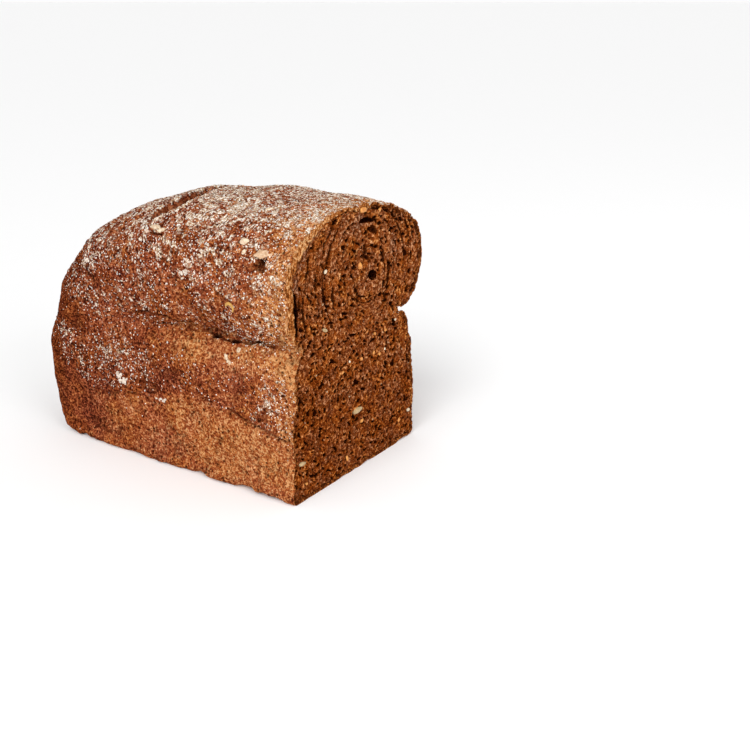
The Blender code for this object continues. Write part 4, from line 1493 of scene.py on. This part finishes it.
def crust_material():
    """Brown crust toned by its bake, with caked and specked flour, a bare split and a streaked rim."""
    material, tree, shader, place = new_material("floury crust")
    flour = read_mask(tree, "flour")
    rim = read_mask(tree, "rim")
    hollow_shade = read_mask(tree, "hollow_shade")
    coarse = mottled(tree, place, 170.0, 2.0)
    fine = mottled(tree, place, 540.0, 3.2, 1.5)
    grainy = mottled(tree, place, 1000.0, 3.6, 1.0)
    tone = calculate(tree, "MULTIPLY_ADD", read_mask(tree, "bake_and_light"), -0.52, 0.8)
    tone = sway(tree, grainy, 0.48, sway(tree, fine, 0.44, sway(tree, coarse, 0.18, tone)))
    brown = bare_crust(tree, place, tone)
    bed = toned(tree, sway(tree, grainy, 0.5, fine), SPLIT_TONES)
    brown = blend(tree, read_mask(tree, "split"), brown, bed)
    brown = blend(tree, rim, brown, rim_colour(tree, place, coarse, grainy))
    brown = blend(tree, scaled(tree, hollow_shade, 0.92), brown, SHADE_DARK)
    bare = calculate(tree, "MULTIPLY_ADD", hollow_shade, -2.5, 1.0, clamp=True)
    cake = flour_cake(tree, place, flour, bare)
    colour = blend(tree, scaled(tree, cake, 0.95), brown, toned(tree, grainy, FLOUR_TONES))
    white = specked(tree, place, 620.0, calculate(tree, "MULTIPLY_ADD", flour, 0.6, 0.005))
    white = scaled(tree, scaled(tree, white, bare), calculate(tree, "SUBTRACT", 1.0, rim))
    colour = blend(tree, scaled(tree, white, 0.85), colour, FLOUR_WHITE)
    dust = calculate(tree, "MAXIMUM", white, cake)
    tree.links.new(colour, shader.inputs["Base Color"])
    tree.links.new(calculate(tree, "MULTIPLY_ADD", dust, 0.3, 0.55), shader.inputs["Roughness"])
    height = calculate(tree, "MULTIPLY_ADD", dust, 0.5, scaled(tree, fine, 0.5))
    height = calculate(tree, "MULTIPLY_ADD", grainy, 0.6, height)
    add_bump(tree, shader, height, 1.0, 1.0 * MM)
    shader.inputs["Specular IOR Level"].default_value = 0.0
    return material


crust_finish = crust_material()
for piece in (crust_near, crust_middle, crust_far):
    keep(piece, crust_finish)

# %% [markdown]
# ## The crumb's finish
#
# The crumb's walls are mid brown, redder in places and greyer in others. Pores and their
# walls are painted darker and redder, as painted shade on top of the shadow that the bowls
# cast. Where the knife pressed the crumb it is smeared and greyer. The dough holds bits of
# grain, so there are sparse specks of orange and off-white.

# %% Crumb material
CRUMB_TONES = (
    (0.0, (0.05, 0.006, 0.001, 1)),
    (0.25, (0.21, 0.038, 0.005, 1)),
    (0.5, (0.40, 0.108, 0.022, 1)),
    (0.75, (0.60, 0.22, 0.070, 1)),
    (1.0, (0.88, 0.50, 0.24, 1)),
)
ORANGE_TONES = (
    (0.1, (0.10, 0.012, 0.001, 1)),
    (0.5, (0.40, 0.098, 0.010, 1)),
    (0.9, (0.78, 0.33, 0.075, 1)),
)
GREY_TONES = (
    (0.2, (0.07, 0.022, 0.009, 1)),
    (0.5, (0.27, 0.105, 0.050, 1)),
    (0.9, (0.60, 0.33, 0.20, 1)),
)
# Painted shade colours: the pores' walls and the pores themselves are blended to these.
PORE_WALL_SHADE = (0.30, 0.062, 0.007, 1)
PORE_SHADE = (0.012, 0.0012, 0.0003, 1)
ORANGE_BIT = (0.80, 0.32, 0.05, 1)
WHITE_BIT = (0.72, 0.54, 0.34, 1)


def crumb_material():
    """Mottled brown crumb with painted shade in its pores, and specks of grain."""
    material, tree, shader, place = new_material("wholemeal crumb")
    drift = mottled(tree, place, 90.0, 2.0)
    lumps = mottled(tree, place, 400.0, 2.6, 1.5)
    fine = mottled(tree, place, 800.0, 3.4, 1.5)
    tone = sway(tree, fine, 0.55, sway(tree, lumps, 0.32, sway(tree, drift, 0.16, read_mask(tree, "tone"))))
    colour = toned(tree, tone, CRUMB_TONES)
    patches = mottled(tree, place, 140.0, 5.0, 2.0)
    away = calculate(tree, "SUBTRACT", 1.0, patches)
    colour = blend(tree, scaled(tree, away, 0.5), colour, toned(tree, tone, ORANGE_TONES))
    grey = calculate(tree, "MULTIPLY_ADD", read_mask(tree, "smear"), 0.65, scaled(tree, patches, 0.5))
    colour = blend(tree, grey, colour, toned(tree, tone, GREY_TONES))
    orange = specked(tree, place, 330.0, 0.04)
    white = specked(tree, place, 620.0, 0.012)
    colour = blend(tree, scaled(tree, orange, 0.85), colour, ORANGE_BIT)
    colour = blend(tree, scaled(tree, white, 0.85), colour, WHITE_BIT)
    hollow_shade = read_mask(tree, "hollow_shade")
    wall = calculate(tree, "MULTIPLY", hollow_shade, 2.2, clamp=True)
    colour = blend(tree, scaled(tree, wall, 0.75), colour, PORE_WALL_SHADE)
    deep = calculate(tree, "MULTIPLY_ADD", hollow_shade, 2.0, -0.8, clamp=True)
    colour = blend(tree, scaled(tree, deep, 0.97), colour, PORE_SHADE)
    tree.links.new(colour, shader.inputs["Base Color"])
    shader.inputs["Roughness"].default_value = 0.7
    height = calculate(tree, "ADD", fine, scaled(tree, lumps, 0.8))
    add_bump(tree, shader, height, 1.0, 0.8 * MM)
    shader.inputs["Specular IOR Level"].default_value = 0.0
    return material


crumb_finish = crumb_material()
for piece in crumb_slabs:
    keep(piece, crumb_finish)


# %% Materials of the small bits
def bit_material(name, colour, shade, per_metre, roughness):
    """A small bit's two tones, mottled."""
    material, tree, shader, place = new_material(name)
    tone = mottled(tree, place, per_metre, 2.5)
    tree.links.new(blend(tree, tone, colour, shade), shader.inputs["Base Color"])
    shader.inputs["Roughness"].default_value = roughness
    add_bump(tree, shader, tone, 0.5, 0.3 * MM)
    return material


BIT_FINISHES = (
    (flour_grains, "flour grains", (0.92, 0.86, 0.78, 1), (0.74, 0.55, 0.40, 1), 260.0, 0.8),
    (crust_bits, "crust flakes", (0.82, 0.70, 0.52, 1), (0.42, 0.24, 0.12, 1), 620.0, 0.7),
    (flap, "crust flap", (0.70, 0.50, 0.33, 1), (0.42, 0.22, 0.10, 1), 700.0, 0.7),
    (husk, "yellow husk", (0.60, 0.33, 0.07, 1), (0.42, 0.2, 0.04, 1), 700.0, 0.55),
    (flour_lumps, "flour lumps", (0.78, 0.72, 0.64, 1), (0.5, 0.36, 0.26, 1), 600.0, 0.8),
    (orange_bits, "orange grain", (0.80, 0.36, 0.07, 1), (0.45, 0.13, 0.02, 1), 900.0, 0.5),
    (white_bits, "white grain", (0.75, 0.66, 0.5, 1), (0.5, 0.38, 0.24, 1), 900.0, 0.5),
    (kernels, "seed kernels", (0.55, 0.41, 0.22, 1), (0.33, 0.21, 0.09, 1), 450.0, 0.5),
)
for piece, *finish in BIT_FINISHES:
    keep(piece, bit_material(*finish))

# %% [markdown]
# ## Floor, light and camera
#
# The loaf stands on a plain pale floor in soft studio light: a broad distant lamp above
# and to the left of the camera, a square one from the right, and a faint square one below
# the camera. The surround is pale, and greyer above the horizon. The camera looks down
# about 20 degrees at the cut corner, from about half a metre away.

# %% Stage
FLOOR_COLOUR = (0.97, 0.97, 0.97, 1)
FLOOR_SHADE = (0.94, 0.94, 0.94, 1)
FLOOR_HALF = 300.0
SURROUND_BELOW = (0.97, 0.97, 0.97, 1)
SURROUND_ABOVE = (0.62, 0.62, 0.62, 1)
corners = np.array([[-1, -1, 0], [1, -1, 0], [1, 1, 0], [-1, 1, 0]]) * FLOOR_HALF
floor = mesh_object("floor", corners, [[0, 1, 2, 3]], smooth=False)
floor_material, floor_tree, floor_shader, floor_place = new_material("pale floor")
paper = mottled(floor_tree, floor_place, 30.0, 0.3)
floor_tone = blend(floor_tree, paper, FLOOR_COLOUR, FLOOR_SHADE)
floor_tree.links.new(floor_tone, floor_shader.inputs["Base Color"])
floor_shader.inputs["Roughness"].default_value = 0.9
floor.data.materials.append(floor_material)


def area_light(name, place, aim, size, watts):
    """A square lamp at a place, aimed at a point."""
    light = bpy.data.lights.new(name, "AREA")
    light.size = size
    light.energy = watts
    lamp = bpy.data.objects.new(name, light)
    way = Vector(aim) - Vector(place)
    lamp.matrix_world = Matrix.Translation(place) @ way.to_track_quat("-Z", "Y").to_matrix().to_4x4()
    bpy.context.scene.collection.objects.link(lamp)


def soft_sun(name, direction_to, strength, spread):
    """A distant lamp that lights the whole floor evenly, its edge softened by its spread in degrees."""
    light = bpy.data.lights.new(name, "SUN")
    light.energy = strength
    light.angle = math.radians(spread)
    lamp = bpy.data.objects.new(name, light)
    lamp.rotation_euler = (-Vector(direction_to)).to_track_quat("-Z", "Y").to_euler()
    bpy.context.scene.collection.objects.link(lamp)


area_light("low fill", (0.5, -0.8, 0.06), (0, 0, 0.07), 0.5, 1.3)
soft_sun("key", (0.15, -0.75, 0.65), 1.85, 40)
area_light("fill", (0.95, -0.25, 0.55), (0, 0, 0.06), 0.6, 4)
world = bpy.data.worlds.new("surround")
world.use_nodes = True
sky = world.node_tree
direction = add(sky, "ShaderNodeTexCoord").outputs["Generated"]
way_up = add(sky, "ShaderNodeSeparateXYZ", {0: direction}).outputs[2]
above = use_group(sky, threshold, {"Value": way_up, "Level": 0.01, "Softness": 0.02})["Mask"]
sky_colour = blend(sky, above, SURROUND_BELOW, SURROUND_ABOVE)
sky.links.new(sky_colour, sky.nodes["Background"].inputs["Color"])
sky.nodes["Background"].inputs["Strength"].default_value = 1.0
bpy.context.scene.world = world

# %% Camera
CAMERA_AZIMUTH = math.radians(33.98)
CAMERA_ELEVATION = math.radians(20.46)
CAMERA_FROM_CUT = (277.3 * MM, -395.4 * MM, 232.6 * MM)
LENS_MM = 48
SENSOR_MM = 36
camera_data = bpy.data.cameras.new("camera")
camera_data.lens = LENS_MM
camera_data.sensor_width = SENSOR_MM
camera = bpy.data.objects.new("camera", camera_data)
back = Vector(
    (
        math.sin(CAMERA_AZIMUTH) * math.cos(CAMERA_ELEVATION),
        -math.cos(CAMERA_AZIMUTH) * math.cos(CAMERA_ELEVATION),
        math.sin(CAMERA_ELEVATION),
    )
)
place = Vector((CUT_X, MIDDLE_Y, 0)) + Vector(CAMERA_FROM_CUT)
camera.matrix_world = Matrix.Translation(place) @ (-back).to_track_quat("-Z", "Y").to_matrix().to_4x4()
bpy.context.scene.collection.objects.link(camera)
bpy.context.scene.camera = camera
bpy.context.scene.view_settings.view_transform = "Standard"

# %% The end
bpy.context.view_layer.update()
